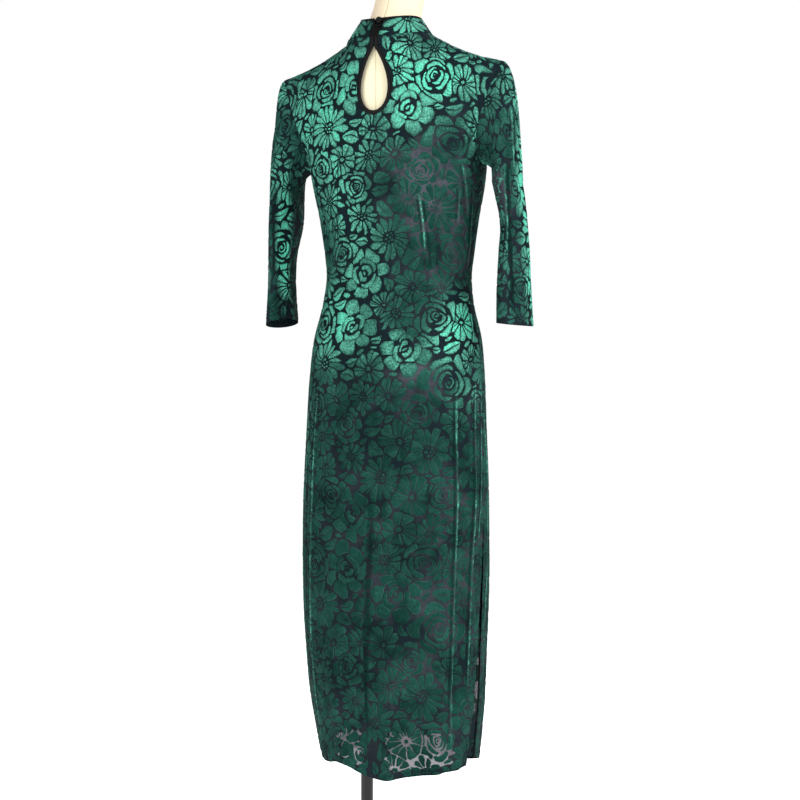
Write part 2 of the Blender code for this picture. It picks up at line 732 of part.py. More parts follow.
def add_binding(parent):
    """One folded strip that edges the collar's ends and the keyhole."""
    points = []
    path = binding_path()
    for near, far, normal in path:
        out, back = normal * BINDING_PROUD, normal * (BINDING_PROUD - BINDING_THICK)
        shift = np.array([0, SEAM_GAP / 2, 0])
        points += [p + shift for p in (near + out, far + out, far + back, near + back)]
    faces = grid_faces(len(path) - 1, 4, lambda r, c: r * 4 + c % 4)
    last = (len(path) - 1) * 4
    faces += [(0, 1, 2, 3), (last + 3, last + 2, last + 1, last)]
    add_piece("keyhole_binding", points, faces, "binding", parent)


def add_button(parent):
    """A ball button on the right end of the collar and the loop from the left end that holds it."""
    normal = collar_normal(math.pi / 2)
    seat = collar_point(math.pi / 2, BUTTON_SHARE) + normal * (BINDING_PROUD + SEAM_GAP * OVER_SEAM)
    centre = seat + normal * BUTTON_RADIUS + np.array([BUTTON_SIDE, SEAM_GAP / 2, 0])
    ball = bmesh.new()
    bmesh.ops.create_icosphere(ball, subdivisions=2, radius=BUTTON_RADIUS)
    add_object("ball_button", ball, "binding", parent, centre)

    across = np.array([1.0, 0, 0])
    up = np.cross(across, normal)
    count, sides = LOOP_TURNS, CORD_SIDES
    ring_radius = BUTTON_RADIUS + LOOP_RADIUS + SEAM_GAP
    loop_centre = centre - normal * (BUTTON_RADIUS - LOOP_RADIUS * LOOP_SEAT)
    points = []
    for i in range(count):
        turn = 2 * math.pi * i / count
        stretch = LOOP_STRETCH if math.cos(turn) > 0 else 1.0
        out = across * math.cos(turn) * stretch + up * math.sin(turn)
        radial = across * math.cos(turn) + up * math.sin(turn)
        for k in range(sides):
            tilt = 2 * math.pi * k / sides
            points.append(
                loop_centre
                + out * ring_radius
                + radial * LOOP_RADIUS * math.cos(tilt)
                + normal * LOOP_RADIUS * math.sin(tilt)
            )
    faces = [
        (
            i * sides + k,
            i * sides + (k + 1) % sides,
            (i + 1) % count * sides + (k + 1) % sides,
            (i + 1) % count * sides + k,
        )
        for i in range(count)
        for k in range(sides)
    ]
    add_piece("button_loop", points, faces, "binding", parent)


# ------------------------------------------------------------------ lining
def add_lining(name, panel, parent):
    """The skirt's lining, inside the dress cloth from its own hem to above the slits."""
    columns, rows = LINING_COLUMNS, LINING_ROWS
    back = panel == "back"
    points = []
    for r in range(rows + 1):
        height = LINING_HEM + (LINING_TOP - LINING_HEM) * r / rows
        opening = max(0.0, (SLIT_TOP - height) / (SLIT_TOP - HEM_HEIGHT))
        margins = [width * opening for width in SLIT_OPENING[panel]]
        for c in range(columns + 1):
            points.append(across_section(height, panel, 2 * c / columns - 1, margins))
    points = np.array(points)
    faces = grid_faces(rows, columns, lambda r, c: r * (columns + 1) + c)
    if back:
        faces = [tuple(reversed(f)) for f in faces]
    normals = face_normals(points, faces)
    for i in range(0, len(points), columns + 1):
        normals[i] = (-1, 0, 0)
        normals[i + columns] = (1, 0, 0)
    points -= normals * LINING_INSET
    points[:, 1] += SEAM_GAP * (1 if back else -1)
    add_piece(name, *wall(points, faces, normals, LINING_CLOTH), "lining", parent)


# ------------------------------------------------------------------ dress form
def form_inset(point):
    """How far the form's surface lies inside the dress's outer face; least on the shoulders."""
    high = smooth_step((point.z - ARMPIT_HEIGHT) / (SHOULDER_TIP[2] - ARMPIT_HEIGHT))
    aside = smooth_step((abs(point.x) - NECK_HALF_WIDTH) / REST_FADE)
    return FORM_INSET + (SHOULDER_REST - FORM_INSET) * high * aside


def add_neck(built):
    """Builds the form's neck up from the open ring that the shoulders leave at the neckline."""
    below = [v for v in built.verts if v.is_boundary and v.co.z > NECK_HEIGHT["front"] - 2 * FORM_INSET]
    below = [v for v in below if abs(v.co.x) < NECK_HALF_WIDTH + FORM_INSET]
    below.sort(key=lambda v: math.atan2(v.co.y - NECK_CENTRE_Y, v.co.x))
    angles = [math.atan2(v.co.y - NECK_CENTRE_Y, v.co.x) for v in below]
    for height, half_width, half_depth, centre_y in NECK_SECTIONS:
        ovals = [oval(angle, half_width, half_depth, centre_y) for angle in angles]
        ring = [built.verts.new((x, y, height)) for x, y in ovals]
        for i in range(len(ring)):
            j = (i + 1) % len(ring)
            built.faces.new((below[i], below[j], ring[j], ring[i]))
        below = ring


def add_form(parent):
    """A whole limbless torso with flat armhole plates and a short neck."""
    columns = BACK_COLUMNS
    heights = np.linspace(FORM_BOTTOM, ARMPIT_HEIGHT, FORM_ROWS + 1)
    built = bmesh.new()
    for panel in ("back", "front"):
        places = [2 * c / columns - 1 for c in range(columns + 1)]
        rows = [[across_section(height, panel, place) for place in places] for height in heights]
        rows += [[upper_surface(panel, place, climb) for place in places] for climb in FORM_CLIMBS]
        verts = [[built.verts.new(point) for point in row] for row in rows]
        for low, high in zip(verts, verts[1:]):
            for c in range(columns):
                corners = (low[c], low[c + 1], high[c + 1], high[c])
                built.faces.new(corners if panel == "front" else corners[::-1])
    bmesh.ops.remove_doubles(built, verts=built.verts, dist=SEAM_GAP)
    built.normal_update()
    moves = {vert: vert.normal * form_inset(vert.co) for vert in built.verts}
    for vert, move in moves.items():
        at_armhole = vert.co.z > ARMPIT_HEIGHT - SEAM_GAP and abs(vert.co.x) > SHOULDER_TIP[0] / 2
        if vert.is_boundary and at_armhole:
            move.x += math.copysign(ARMHOLE_INSET, vert.co.x)
        elif vert.is_boundary and vert.co.z < FORM_BOTTOM + SEAM_GAP:
            move.z = 0.0
        vert.co -= move
    add_neck(built)
    bmesh.ops.holes_fill(built, edges=[edge for edge in built.edges if edge.is_boundary], sides=0)
    bmesh.ops.triangulate(built, faces=[face for face in built.faces if len(face.verts) > 4])
    add_object("form_body", built, "form_cover", parent)


def add_disc(name, radius, low, high, finish, sides=48):
    """A round plate or bar that stands upright on the pole's line."""
    built = bmesh.new()
    sizes = {"radius1": radius, "radius2": radius, "depth": high - low}
    bmesh.ops.create_cone(built, cap_ends=True, segments=sides, **sizes)
    return add_object(name, built, finish, None, (0, 0, (low + high) / 2))


def round_edges(piece, width):
    rounding = piece.modifiers.new("rounding", "BEVEL")
    rounding.width = width
    rounding.segments = 2
    rounding.limit_method = "ANGLE"


def add_neck_cap(parent):
    """The oval lid that closes the form's neck."""
    height, half_width, half_depth, centre_y = NECK_SECTIONS[-1]
    low = height + SEAM_GAP
    cap = add_disc("neck_cap", half_width, low, low + NECK_CAP_HEIGHT, "form_cover", sides=32)
    for vert in cap.data.vertices:
        vert.co.y *= half_depth / half_width
    cap.location.y = centre_y
    cap.parent = parent
    round_edges(cap, NECK_CAP_BEVEL)


def add_stand():
    add_disc("base_plate", BASE_RADIUS, 0.0, BASE_THICK, "black_enamel")
    low = BASE_THICK + SEAM_GAP
    flange = add_disc("base_flange", FLANGE_RADIUS, low, low + FLANGE_HEIGHT, "black_enamel", sides=32)
    round_edges(flange, FLANGE_BEVEL)
    low += FLANGE_HEIGHT + SEAM_GAP
    add_disc("pole", POLE_RADIUS, low, FORM_BOTTOM - SEAM_GAP, "black_enamel", sides=24)


def clear_scene():
    for thing in list(bpy.data.objects):
        bpy.data.objects.remove(thing, do_unlink=True)


def main():
    clear_scene()
    body = bpy.data.objects.new("body_frame", None)
    body.location = BODY_PLACE
    bpy.context.scene.collection.objects.link(body)
    panels = {
        "front": add_panel("front_panel", front_surface(), "front", body),
        "back": add_panel("back_panel", back_surface(), "back", body),
    }
    add_sleeve("left_sleeve", "left", panels, body)
    add_sleeve("right_sleeve", "right", panels, body)
    add_collar(body)
    add_piping(body)
    add_binding(body)
    add_button(body)
    add_lining("lining_front", "front", body)
    add_lining("lining_back", "back", body)
    add_form(body)
    add_neck_cap(body)
    add_stand()


main()
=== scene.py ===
"""Cheongsam dress of burnt-out velvet on a limbless dress form: cloth, pile, trims, form and stage.

The dress's surfaces are worked out from the same section tables as the solids, in the body's own
frame, which stands at BODY_PLACE. Flat cloth is measured from the centre line of each piece.
"""

import functools
import math

import bmesh
import bpy
import numpy as np
from bpy.props import FloatProperty, FloatVectorProperty, PointerProperty
from bpy.types import Operator, Panel, PropertyGroup
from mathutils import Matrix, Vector


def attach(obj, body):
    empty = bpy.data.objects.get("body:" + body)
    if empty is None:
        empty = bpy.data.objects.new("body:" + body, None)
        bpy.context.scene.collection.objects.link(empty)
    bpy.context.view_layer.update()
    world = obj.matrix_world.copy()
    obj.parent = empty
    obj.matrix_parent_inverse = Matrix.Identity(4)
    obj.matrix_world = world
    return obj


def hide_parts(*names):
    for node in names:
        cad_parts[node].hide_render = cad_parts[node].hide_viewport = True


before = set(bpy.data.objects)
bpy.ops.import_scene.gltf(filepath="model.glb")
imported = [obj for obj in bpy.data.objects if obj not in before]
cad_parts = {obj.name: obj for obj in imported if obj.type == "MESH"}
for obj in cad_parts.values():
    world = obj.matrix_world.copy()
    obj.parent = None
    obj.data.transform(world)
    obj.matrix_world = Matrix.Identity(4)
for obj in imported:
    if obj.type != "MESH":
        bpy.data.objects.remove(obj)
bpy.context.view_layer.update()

bl_info = {
    "name": "Cheongsam on a dress form",
    "version": (1, 0, 0),
    "blender": (4, 5, 0),
    "location": "3D View > Sidebar > Cheongsam",
    "description": "Makes a cheongsam dress of burnt-out velvet on a limbless dress form",
    "category": "Add Mesh",
}

# ---- sizes shared with the solids
BODY_PLACE = np.array([-0.040, -0.045, 0.0])
SEAM_GAP = 0.0003
HEM_HEIGHT = 0.188
ARMPIT_HEIGHT = 1.186
SLIT_TOP = 0.630
LINING_HEM = 0.262
LINING_TOP = 0.690
LINING_INSET = 0.0045
FORM_INSET = 0.0070
SHOULDER_REST = 0.0022
REST_FADE = 0.040
FORM_BOTTOM = 0.640
ARMHOLE_INSET = 0.008

NECK_CENTRE_Y = 0.031
NECK_HALF_WIDTH = 0.070
NECK_HALF_DEPTH = 0.073
NECK_HEIGHT = {"back": 1.390, "side": 1.402, "front": 1.350}
SHOULDER_TIP = np.array([0.198, 0.036, 1.347])
SHOULDER_DIP = 0.007
NECK_POINT = 0.5
NECK_POINT_SPREAD = 0.30

ARMHOLE_CUT = 0.050
ARMHOLE_ROUND = 0.75
SLEEVE_LEAVE = (0.052, 0.020, -0.013)
SLEEVE_ARRIVE = 1.1

COLLAR_TOP_CENTRE_Y = 0.031
COLLAR_TOP_HALF_WIDTH = 0.0520
COLLAR_TOP_HALF_DEPTH = 0.0580
COLLAR_RISE = {"back": 0.0305, "side": 0.0265, "front": 0.0400}
COLLAR_CLOTH = 0.0020
OPENING_EDGE = 0.0074
PIPING_HEIGHT = 0.0034
PIPING_WIDTH = 0.0036

KEYHOLE_BOTTOM = 1.269
KEYHOLE_TIP = 1.374
KEYHOLE_HALF_WIDTH = 0.0240
KEYHOLE_WIDEST = 0.34
TEARDROP_EVEN = 0.45
BINDING_WIDTH = 0.0068
BINDING_PROUD = 0.0005
BUTTON_RADIUS = 0.0056
BUTTON_SIDE = -0.0060
BUTTON_SHARE = 0.80
LOOP_RADIUS = 0.0012
LOOP_STRETCH = 1.35
HALF_BACK_WIDTH = 0.145

POLE_RADIUS = 0.0102
BASE_RADIUS = 0.180
BASE_THICK = 0.009
FLANGE_RADIUS = 0.034
FLANGE_HEIGHT = 0.020

BODY_SECTIONS = (
    # height, half width, front depth, back depth, centre y, squareness
    (0.150, 0.1265, 0.0930, 0.0960, 0.002, 2.15),
    (0.215, 0.1350, 0.0980, 0.1010, 0.005, 2.15),
    (0.255, 0.1405, 0.1010, 0.1040, 0.009, 2.15),
    (0.300, 0.1465, 0.1040, 0.1070, 0.014, 2.15),
    (0.376, 0.1515, 0.1080, 0.1120, 0.019, 2.15),
    (0.457, 0.1555, 0.1100, 0.1150, 0.021, 2.15),
    (0.558, 0.1575, 0.1120, 0.1170, 0.020, 2.15),
    (0.659, 0.1575, 0.1140, 0.1180, 0.016, 2.15),
    (0.760, 0.1535, 0.1150, 0.1160, 0.016, 2.15),
    (0.840, 0.1500, 0.1110, 0.1100, 0.014, 2.15),
    (0.901, 0.1445, 0.1040, 0.1010, 0.012, 2.15),
    (0.961, 0.1300, 0.0960, 0.0900, 0.010, 2.15),
    (1.012, 0.1255, 0.0910, 0.0840, 0.006, 2.15),
    (1.042, 0.1290, 0.0930, 0.0850, 0.005, 2.15),
    (1.103, 0.1375, 0.1070, 0.0900, 0.007, 2.15),
    (1.163, 0.1480, 0.1240, 0.0930, 0.012, 2.20),
    (1.200, 0.1530, 0.1220, 0.0930, 0.015, 2.25),
)
FOLDS = (
    # panel, place across, half width across, lowest, highest, proud
    ("back", -0.64, 0.110, 0.10, 0.74, 0.0060),
    ("back", -0.85, 0.100, 0.10, 0.80, 0.0045),
    ("back", -0.20, 0.110, 0.10, 0.42, 0.0045),
    ("back", 0.30, 0.120, 0.10, 0.46, 0.0050),
    ("back", 0.90, 0.090, 0.10, 0.72, 0.0050),
    ("back", -0.38, 0.085, 0.98, 1.17, 0.0030),
    ("back", 0.38, 0.085, 0.98, 1.17, 0.0030),
    ("front", -0.78, 0.100, 0.10, 0.70, 0.0050),
    ("front", -0.15, 0.120, 0.10, 0.40, 0.0045),
    ("front", 0.32, 0.120, 0.10, 0.48, 0.0045),
    ("front", 0.80, 0.100, 0.10, 0.72, 0.0050),
)
FOLD_FADE = 0.35
SLIT_OPENING = {"back": (0.024, 0.003), "front": (0.002, 0.003)}
HEM_RISE = {
    # panel: (across, rise) pairs
    "back": (
        (-1.0, 0.015), (-0.75, 0.009), (-0.4, 0.003), (-0.15, -0.005), (0.1, 0.004),
        (0.3, 0.016), (0.55, 0.011), (0.8, 0.016), (1.0, 0.026),
    ),
    "front": ((-1.0, 0.026), (-0.6, 0.006), (0.0, 0.000), (0.6, 0.004), (1.0, 0.024)),
}
HEM_FADE = 0.22
SLEEVE_SECTIONS = {
    "left": (
        # height, centre x, centre y, half width, half depth
        (1.150, 0.2040, 0.018, 0.0185, 0.0530),
        (1.110, 0.2055, 0.018, 0.0180, 0.0540),
        (1.042, 0.2130, 0.018, 0.0150, 0.0440),
        (1.000, 0.2140, 0.018, 0.0145, 0.0425),
        (0.960, 0.2140, 0.018, 0.0155, 0.0460),
        (0.925, 0.2140, 0.018, 0.0170, 0.0500),
    ),
    "right": (
        (1.150, 0.1990, 0.018, 0.0180, 0.0460),
        (1.133, 0.2025, 0.018, 0.0175, 0.0460),
        (1.093, 0.2094, 0.018, 0.0155, 0.0445),
        (1.035, 0.2105, 0.018, 0.0190, 0.0505),
        (0.976, 0.2105, 0.018, 0.0225, 0.0530),
        (0.920, 0.2120, 0.018, 0.0245, 0.0550),
    ),
}
SLEEVE_DENT = {
    # side: (angle from the inner side through the back, half width of the dent, depth)
    "left": (math.radians(42), math.radians(34), 0.0060),
    "right": (math.radians(128), math.radians(30), 0.0070),
}
DENT_FADE = 0.08
CUFF_RISE = {"left": 0.014, "right": 0.004}
NECK_SECTIONS = (
    # height, half width, half depth, centre y
    (1.412, 0.0450, 0.0440, 0.031),
    (1.432, 0.0425, 0.0435, 0.021),
    (1.462, 0.0410, 0.0430, 0.004),
    (1.492, 0.0400, 0.0420, -0.008),
)
NECK_CAP_HEIGHT = 0.008

# ---- sizes of the shown pieces alone
HEM_TURN = 0.010  # depth of the turned hem
FACING_WIDTH = 0.034  # the front's edge under the back's, at the wearer's right slit
FACING_HEIGHTS = (0.216, 0.430)
FACING_INSET = 0.0022
FACING_SHADE = 0.2  # how much of the light on the skirt reaches it
FACING_LIT = (0.275, 0.390)  # heights between which light comes through it
HEM_LIGHT = {
    # panel: stretches of x along which light comes through the cloth under the lining
    "back": ((-0.122, -0.026), (0.018, 0.062)),
    "front": ((-0.060, -0.010), (0.030, 0.110)),
}
LIGHT_FADE = 0.006  # over this length the lit stretches end
LINING_EDGE = (
    # height, how far the lining's edge lies behind the slit's
    (0.30, 0.030), (SLIT_TOP - 0.17, 0.012), (SLIT_TOP - 0.12, 0.0),
)
LINING_FOLDS = 0.8  # the lining's folds as a share of the dress's
SLEEVE_TUCK = 0.0004  # how far a sleeve's head lies under the armhole's edge
FORM_SEAM_HALF = 0.0016  # half width of the form's seams
FORM_SEAM_DEPTH = 0.0009
FORM_SEAM_COLUMNS = np.array([0.0, 0.004, 0.009, 0.016])  # closer columns beside the seam
ARMHOLE_START = 0.099  # the form's armholes lie further out than this
CAP_OUTLINE = (
    # share of the radius, share of the height
    (0.001, 0.0), (0.97, 0.0), (1.0, 0.12), (1.0, 0.60), (0.97, 0.85), (0.90, 1.0), (0.001, 1.0),
)
BINDING_OUTLINE = (
    # share from the opening's edge, outwards
    (0.06, -0.0018), (-0.02, -0.0008), (0.00, 0.0002), (0.14, 0.0008), (0.45, 0.0010),
    (0.80, 0.0008), (0.97, 0.0004), (1.05, 0.0002), (1.05, -0.0008), (0.50, -0.0018),
)
STITCH_ROW = (0.16, 0.84)  # shares of the binding's inner and outer edge
STITCH_LIFT = 0.0008  # over the cloth's face
STITCH_SIZES = (0.0030, 0.0021, 0.0005)  # spacing, length, thickness
KNOT_CORD = 0.00135
KNOT_SWELL = 0.0004  # how far the knot's cord goes in and out
KNOT_TILT = 0.95  # the most that its cord leans, in radians
KNOT_WINDINGS = 3.5  # times that it leans to and fro
CORE_INSET = 0.0012  # the core lies this far inside the button
LOOP_SEAT = 1.05  # the loop's height over the collar, as a share of its cord's radius
SCREW_RING = 0.026
SCREW_TURNS = (0.6, 2.694, 4.789)
SCREW_SEAT = 0.0058  # over the flange's underside
SCREW_RADIUS = 0.0034
SCREW_RISE = 0.0018

# ---- stage
FLOOR_REACH = 30
CAMERA_HEIGHT = 0.80
SENSOR_WIDTH = 36.0
AIM_HEIGHT = 0.9  # the lamps point at this height
LAMPS = (
    # name, along the camera's right, towards the camera, height, size, power
    ("key_lamp", 1.6, 1.6, 2.3, 1.2, 70.0),
    ("fill_lamp", -1.7, 1.8, 1.9, 1.6, 36.0),
    ("rear_lamp", 0.4, -2.2, 2.3, 1.6, 40.0),
)

# ---- fineness of the shown cloth
COLUMNS = 72  # cloth faces across half a panel
LOWER_ROWS = 190  # from the hem to the armpit
BELOW_KEYHOLE_ROWS = 12
TEARDROP_ROWS = 30
SLIT_ROWS = 6
SLEEVE_HEAD_ROWS = 26
SLEEVE_TUBE_ROWS = 66
COLLAR_ROWS = 10
LEVELS = np.linspace(0.150, 1.200, 264)
EVEN = 241  # points along a panel's section, an even length apart
PROBE = 1e-4  # a small step over a surface, to measure its slope
BACK_PASSES = 5
FIND_PASSES = 10
FIND_REACH = 20  # the most rows or columns that one pass goes
FIND_AT_ONCE = 20000  # places looked for together
SLEEVE_CREASE_ROWS = 8  # rows over which a sleeve's creases begin

# Fine creases, each one along a line from its first end to its second.
CREASES = {
    # place: (distance from the centre line and height of both ends, half width, proud, bow)
    "back": (
        (-0.147, 0.84, -0.155, 0.21, 0.0046, 0.0034, 0.001),
        (-0.190, 0.86, -0.184, 0.30, 0.0042, 0.0028, 0.000),
        (-0.212, 0.84, -0.203, 0.55, 0.0040, 0.0024, 0.000),
        (-0.112, 0.78, -0.108, 0.30, 0.0060, -0.0010, 0.004),
        (-0.010, 0.66, -0.006, 0.23, 0.0110, -0.0014, 0.002),
        (0.108, 0.84, 0.124, 0.22, 0.0048, 0.0026, -0.005),
        (0.140, 0.74, 0.146, 0.26, 0.0065, -0.0016, 0.000),
        (0.176, 0.80, 0.165, 0.24, 0.0045, 0.0022, 0.001),
        (-0.080, 1.135, -0.0895, 1.005, 0.0034, -0.0016, 0.001),
        (-0.0740, 1.135, -0.0800, 1.040, 0.0036, 0.0024, 0.001),
        (-0.143, 1.145, -0.138, 1.085, 0.0040, 0.0020, 0.000),
        (-0.174, 1.160, -0.162, 1.005, 0.0040, 0.0024, 0.001),
        (0.066, 1.220, 0.081, 1.060, 0.0034, -0.0014, 0.002),
        (-0.172, 1.262, -0.160, 1.205, 0.0050, 0.0026, 0.001),
        (-0.148, 1.185, -0.159, 1.095, 0.0055, 0.0020, 0.002),
        (-0.132, 1.225, -0.136, 1.150, 0.0060, -0.0012, 0.002),
        (0.150, 1.255, 0.146, 1.190, 0.0055, 0.0020, -0.001),
        (-0.020, 1.030, 0.055, 1.012, 0.0060, 0.0012, 0.004),
        (-0.085, 1.010, -0.030, 0.995, 0.0060, 0.0012, -0.003),
        (0.060, 0.990, 0.130, 1.015, 0.0055, 0.0011, 0.003),
        (-0.150, 0.905, -0.060, 0.960, 0.0080, 0.0012, 0.006),
    ),
    "front": (
        (-0.160, 0.95, -0.140, 0.24, 0.0045, 0.0030, 0.002),
        (0.162, 0.90, 0.144, 0.24, 0.0045, 0.0030, 0.000),
        (-0.205, 0.82, -0.196, 0.40, 0.0042, 0.0024, 0.000),
        (-0.080, 0.75, -0.072, 0.28, 0.0060, 0.0013, 0.003),
        (0.074, 0.70, 0.070, 0.27, 0.0060, -0.0012, -0.003),
        (-0.075, 1.140, -0.070, 1.000, 0.0034, -0.0015, 0.002),
        (0.075, 1.140, 0.070, 1.000, 0.0034, -0.0015, -0.002),
        (-0.020, 1.026, 0.060, 1.008, 0.0060, 0.0012, 0.004),
        (-0.130, 1.010, -0.060, 1.030, 0.0060, 0.0012, 0.003),
        (0.140, 1.250, 0.148, 1.185, 0.0055, 0.0022, 0.002),
        (-0.140, 1.250, -0.148, 1.185, 0.0055, 0.0022, -0.002),
    ),
    # place: (way round as a share and height of both ends, half width, proud, bow)
    "left": (
        (0.060, 1.20, 0.030, 0.945, 0.0055, 0.0028, 0.002),
        (0.200, 1.17, 0.160, 1.000, 0.0060, -0.0022, 0.001),
        (0.300, 1.06, 0.240, 0.980, 0.0055, 0.0018, 0.003),
        (0.440, 1.27, 0.400, 1.150, 0.0070, 0.0020, 0.003),
        (0.600, 1.18, 0.620, 0.980, 0.0070, 0.0018, 0.002),
        (0.780, 1.12, 0.740, 1.020, 0.0060, -0.0016, 0.002),
    ),
    "right": (
        (0.575, 1.24, 0.530, 0.945, 0.0060, 0.0030, -0.002),
        (0.372, 1.21, 0.306, 0.930, 0.0075, -0.0028, 0.001),
        (0.300, 1.16, 0.250, 1.000, 0.0060, 0.0022, 0.001),
        (0.160, 1.20, 0.130, 1.060, 0.0055, 0.0020, 0.002),
        (0.460, 1.28, 0.440, 1.170, 0.0060, 0.0018, 0.003),
        (0.700, 1.18, 0.680, 0.980, 0.0070, 0.0018, 0.002),
        (0.840, 1.10, 0.800, 1.000, 0.0060, -0.0016, -0.002),
    ),
}
SLEEVE_GIRTH = 0.21  # turns a share of the way round a sleeve into metres

# Soft patches of painted sheen, where the pile is painted brighter as if it were lit. Across is x
# on the body and the collar, and y on the sleeves.
PAINTED_SHEEN = {
    # place: (across, height, half width, half height, lean, change)
    "back": (
        (-0.103, 1.322, 0.058, 0.042, 0.0, 0.88),
        (-0.030, 1.350, 0.036, 0.036, 0.0, 0.55),
        (-0.060, 1.262, 0.042, 0.036, 0.0, 0.48),
        (0.100, 1.270, 0.090, 0.095, 0.0, 0.60),
        (0.045, 1.310, 0.040, 0.045, 0.0, 0.26),
        (0.050, 1.110, 0.046, 0.115, 0.3, 0.42),
        (0.066, 0.930, 0.052, 0.066, 0.0, 0.60),
        (-0.045, 0.878, 0.030, 0.030, 0.4, 0.42),
        (-0.130, 0.918, 0.028, 0.048, -0.2, 0.86),
        (-0.142, 0.830, 0.016, 0.050, 0.0, 0.20),
        (-0.165, 1.237, 0.018, 0.060, 0.0, 0.40),
        (0.150, 0.740, 0.030, 0.090, 0.0, 0.16),
    ),
    "front": (
        (0.100, 1.300, 0.070, 0.060, 0.0, 0.70),
        (-0.090, 1.260, 0.070, 0.080, 0.0, 0.45),
        (-0.030, 1.080, 0.050, 0.100, 0.2, 0.36),
        (-0.080, 0.905, 0.045, 0.060, 0.3, 0.50),
        (0.115, 0.900, 0.035, 0.060, -0.2, 0.70),
        (0.030, 0.870, 0.035, 0.035, 0.0, 0.40),
    ),
    "left": (
        (0.020, 1.330, 0.060, 0.034, 0.0, 0.45),
        (0.043, 1.075, 0.011, 0.105, 0.16, 1.60),
        (0.030, 1.205, 0.008, 0.024, 0.0, 0.35),
    ),
    "right": (
        (0.030, 1.300, 0.030, 0.040, 0.0, 0.30),
        (0.000, 1.080, 0.023, 0.260, 0.0, 0.95),
        (0.064, 1.080, 0.012, 0.150, 0.0, 0.12),
    ),
    "collar": ((-0.040, 1.405, 0.036, 0.030, 0.0, 0.60), (0.045, 1.410, 0.024, 0.030, 0.0, 0.32)),
}
# Painted sheen everywhere outside the patches.
PAINTED_SHEEN_BASE = 0.015

# Soft patches over which the sheer ground catches more light or less, laid out in the same way.
PALE = {
    "back": (
        (-0.085, 1.150, 0.056, 0.100, 0.0, 0.85),
        (-0.082, 0.850, 0.030, 0.046, 0.0, 0.75),
        (-0.060, 0.480, 0.100, 0.320, 0.0, 0.20),
        (-0.150, 0.600, 0.050, 0.240, 0.0, 0.20),
        (-0.100, 1.020, 0.070, 0.060, 0.0, 0.25),
    ),
    "front": (
        (0.080, 1.120, 0.060, 0.100, 0.0, 0.80),
        (0.070, 0.850, 0.030, 0.050, 0.0, 0.50),
        (-0.050, 0.480, 0.110, 0.300, 0.0, 0.24),
    ),
    "left": ((0.040, 1.250, 0.090, 0.100, 0.0, -0.20),),
    "facing": ((0.0, 0.320, 1.0, 1.0, 0.0, -0.20),),
    "right": ((0.062, 1.150, 0.014, 0.080, 0.0, 0.35),),
}
PALE_BASE = 0.10

# ---- the burnt-out pattern
REPEAT = (0.310, 0.395)  # width and height of the pattern's repeat
LINE = 0.0018  # ground left showing between neighbouring petals
VEIN = 0.0008  # half width of a vein at its base
FLOWER_SCALE = 1.06
FLOWERS = (
    # kind, x, y, radius, turn in degrees; from the keyhole's bottom
    ("daisy", -0.092, -0.018, 0.041, 8),
    ("blossom", 0.000, -0.027, 0.026, 15),
    ("peony", 0.060, 0.004, 0.042, 20),
    ("rose", 0.103, 0.056, 0.040, 0),
    ("blossom", 0.152, 0.052, 0.030, 10),
    ("daisy", 0.040, 0.062, 0.032, 0),
    ("peony", -0.036, 0.042, 0.042, 200),
    ("rose", -0.106, 0.048, 0.036, 90),
    ("blossom", -0.133, -0.010, 0.024, 0),
    ("daisy", -0.010, -0.074, 0.028, 12),
    ("blossom", 0.038, -0.074, 0.028, 22),
    ("blossom", -0.060, -0.078, 0.029, 0),
    ("rose", 0.132, -0.050, 0.045, 150),
    ("rose", 0.082, -0.100, 0.028, 60),
    ("rose", -0.036, -0.120, 0.029, 220),
    ("blossom", 0.056, -0.144, 0.031, 5),
    ("daisy", 0.103, -0.160, 0.040, 0),
    ("daisy", -0.026, -0.172, 0.028, 9),
    ("daisy", 0.024, -0.206, 0.038, 4),
    ("peony", -0.024, -0.264, 0.042, 110),
    ("rose", -0.070, -0.232, 0.032, 300),
    ("blossom", 0.076, -0.232, 0.034, 12),
    ("rose", 0.128, -0.232, 0.034, 30),
    ("blossom", 0.060, -0.286, 0.030, 0),
    ("daisy", 0.108, -0.288, 0.030, 7),
    ("rose", -0.108, -0.084, 0.030, 45),
    ("daisy", -0.090, -0.140, 0.030, 3),
    ("peony", -0.122, -0.186, 0.038, 60),
    ("blossom", -0.080, -0.186, 0.024, 18),
    ("daisy", -0.118, -0.262, 0.040, 0),
    ("blossom", 0.149, -0.118, 0.027, 0),
    ("blossom", 0.014, -0.316, 0.022, 0),
)
SLEEVE_PATTERN = {"left": (0.06, 1.10), "right": (-0.05, 1.10)}  # where the chart's origin lies
COLLAR_PATTERN = (0.14, 0.05)
LEAF_LENGTHS = (0.034, 0.028, 0.023, 0.018, 0.014)
LEAF_TURNS = 12
SHORT_LEAF = 0.014  # leaves up to this length are one plain pad
CELL = 0.0015  # fineness at which leaves look for free ground
LOOSENESS = (
    # length of a sway, how far it goes, its way
    (0.0085, 0.00045, 0.4),
    (0.0190, 0.00090, 1.9),
    (0.0610, 0.00250, 2.7),
)

# Places along a pad's length, and how wide it is there as a share of its greatest half width.
FINE = np.array([0.0, 0.025, 0.09, 0.20, 0.35, 0.50, 0.65, 0.80, 0.91, 0.975, 1.0])
MEDIUM = np.array([0.0, 0.05, 0.2, 0.4, 0.6, 0.8, 0.94, 1.0])
COARSE = np.array([0.0, 0.12, 0.5, 0.88, 1.0])
NARROW = np.array([0.20, 0.34, 0.56, 0.80, 1.0, 0.92, 0.50, 0.0])
LEAF = np.array([0.0, 0.30, 0.78, 1.0, 0.92, 0.60, 0.22, 0.0])

PILE_RIM = -0.0003  # a pad's edge starts this far inside the ground
PILE_BEVEL = 0.0005
PILE_SHOULDER = 0.92  # a pad's height at its bevel, as a share of its full height
PAD_MARGIN = 0.01  # pads are tried this far outside the cloth
PAD_MISS = 0.0004  # a point this far off the cloth misses it
PAD_LOSS = 0.55  # a pad with this share of its points off the cloth is left out

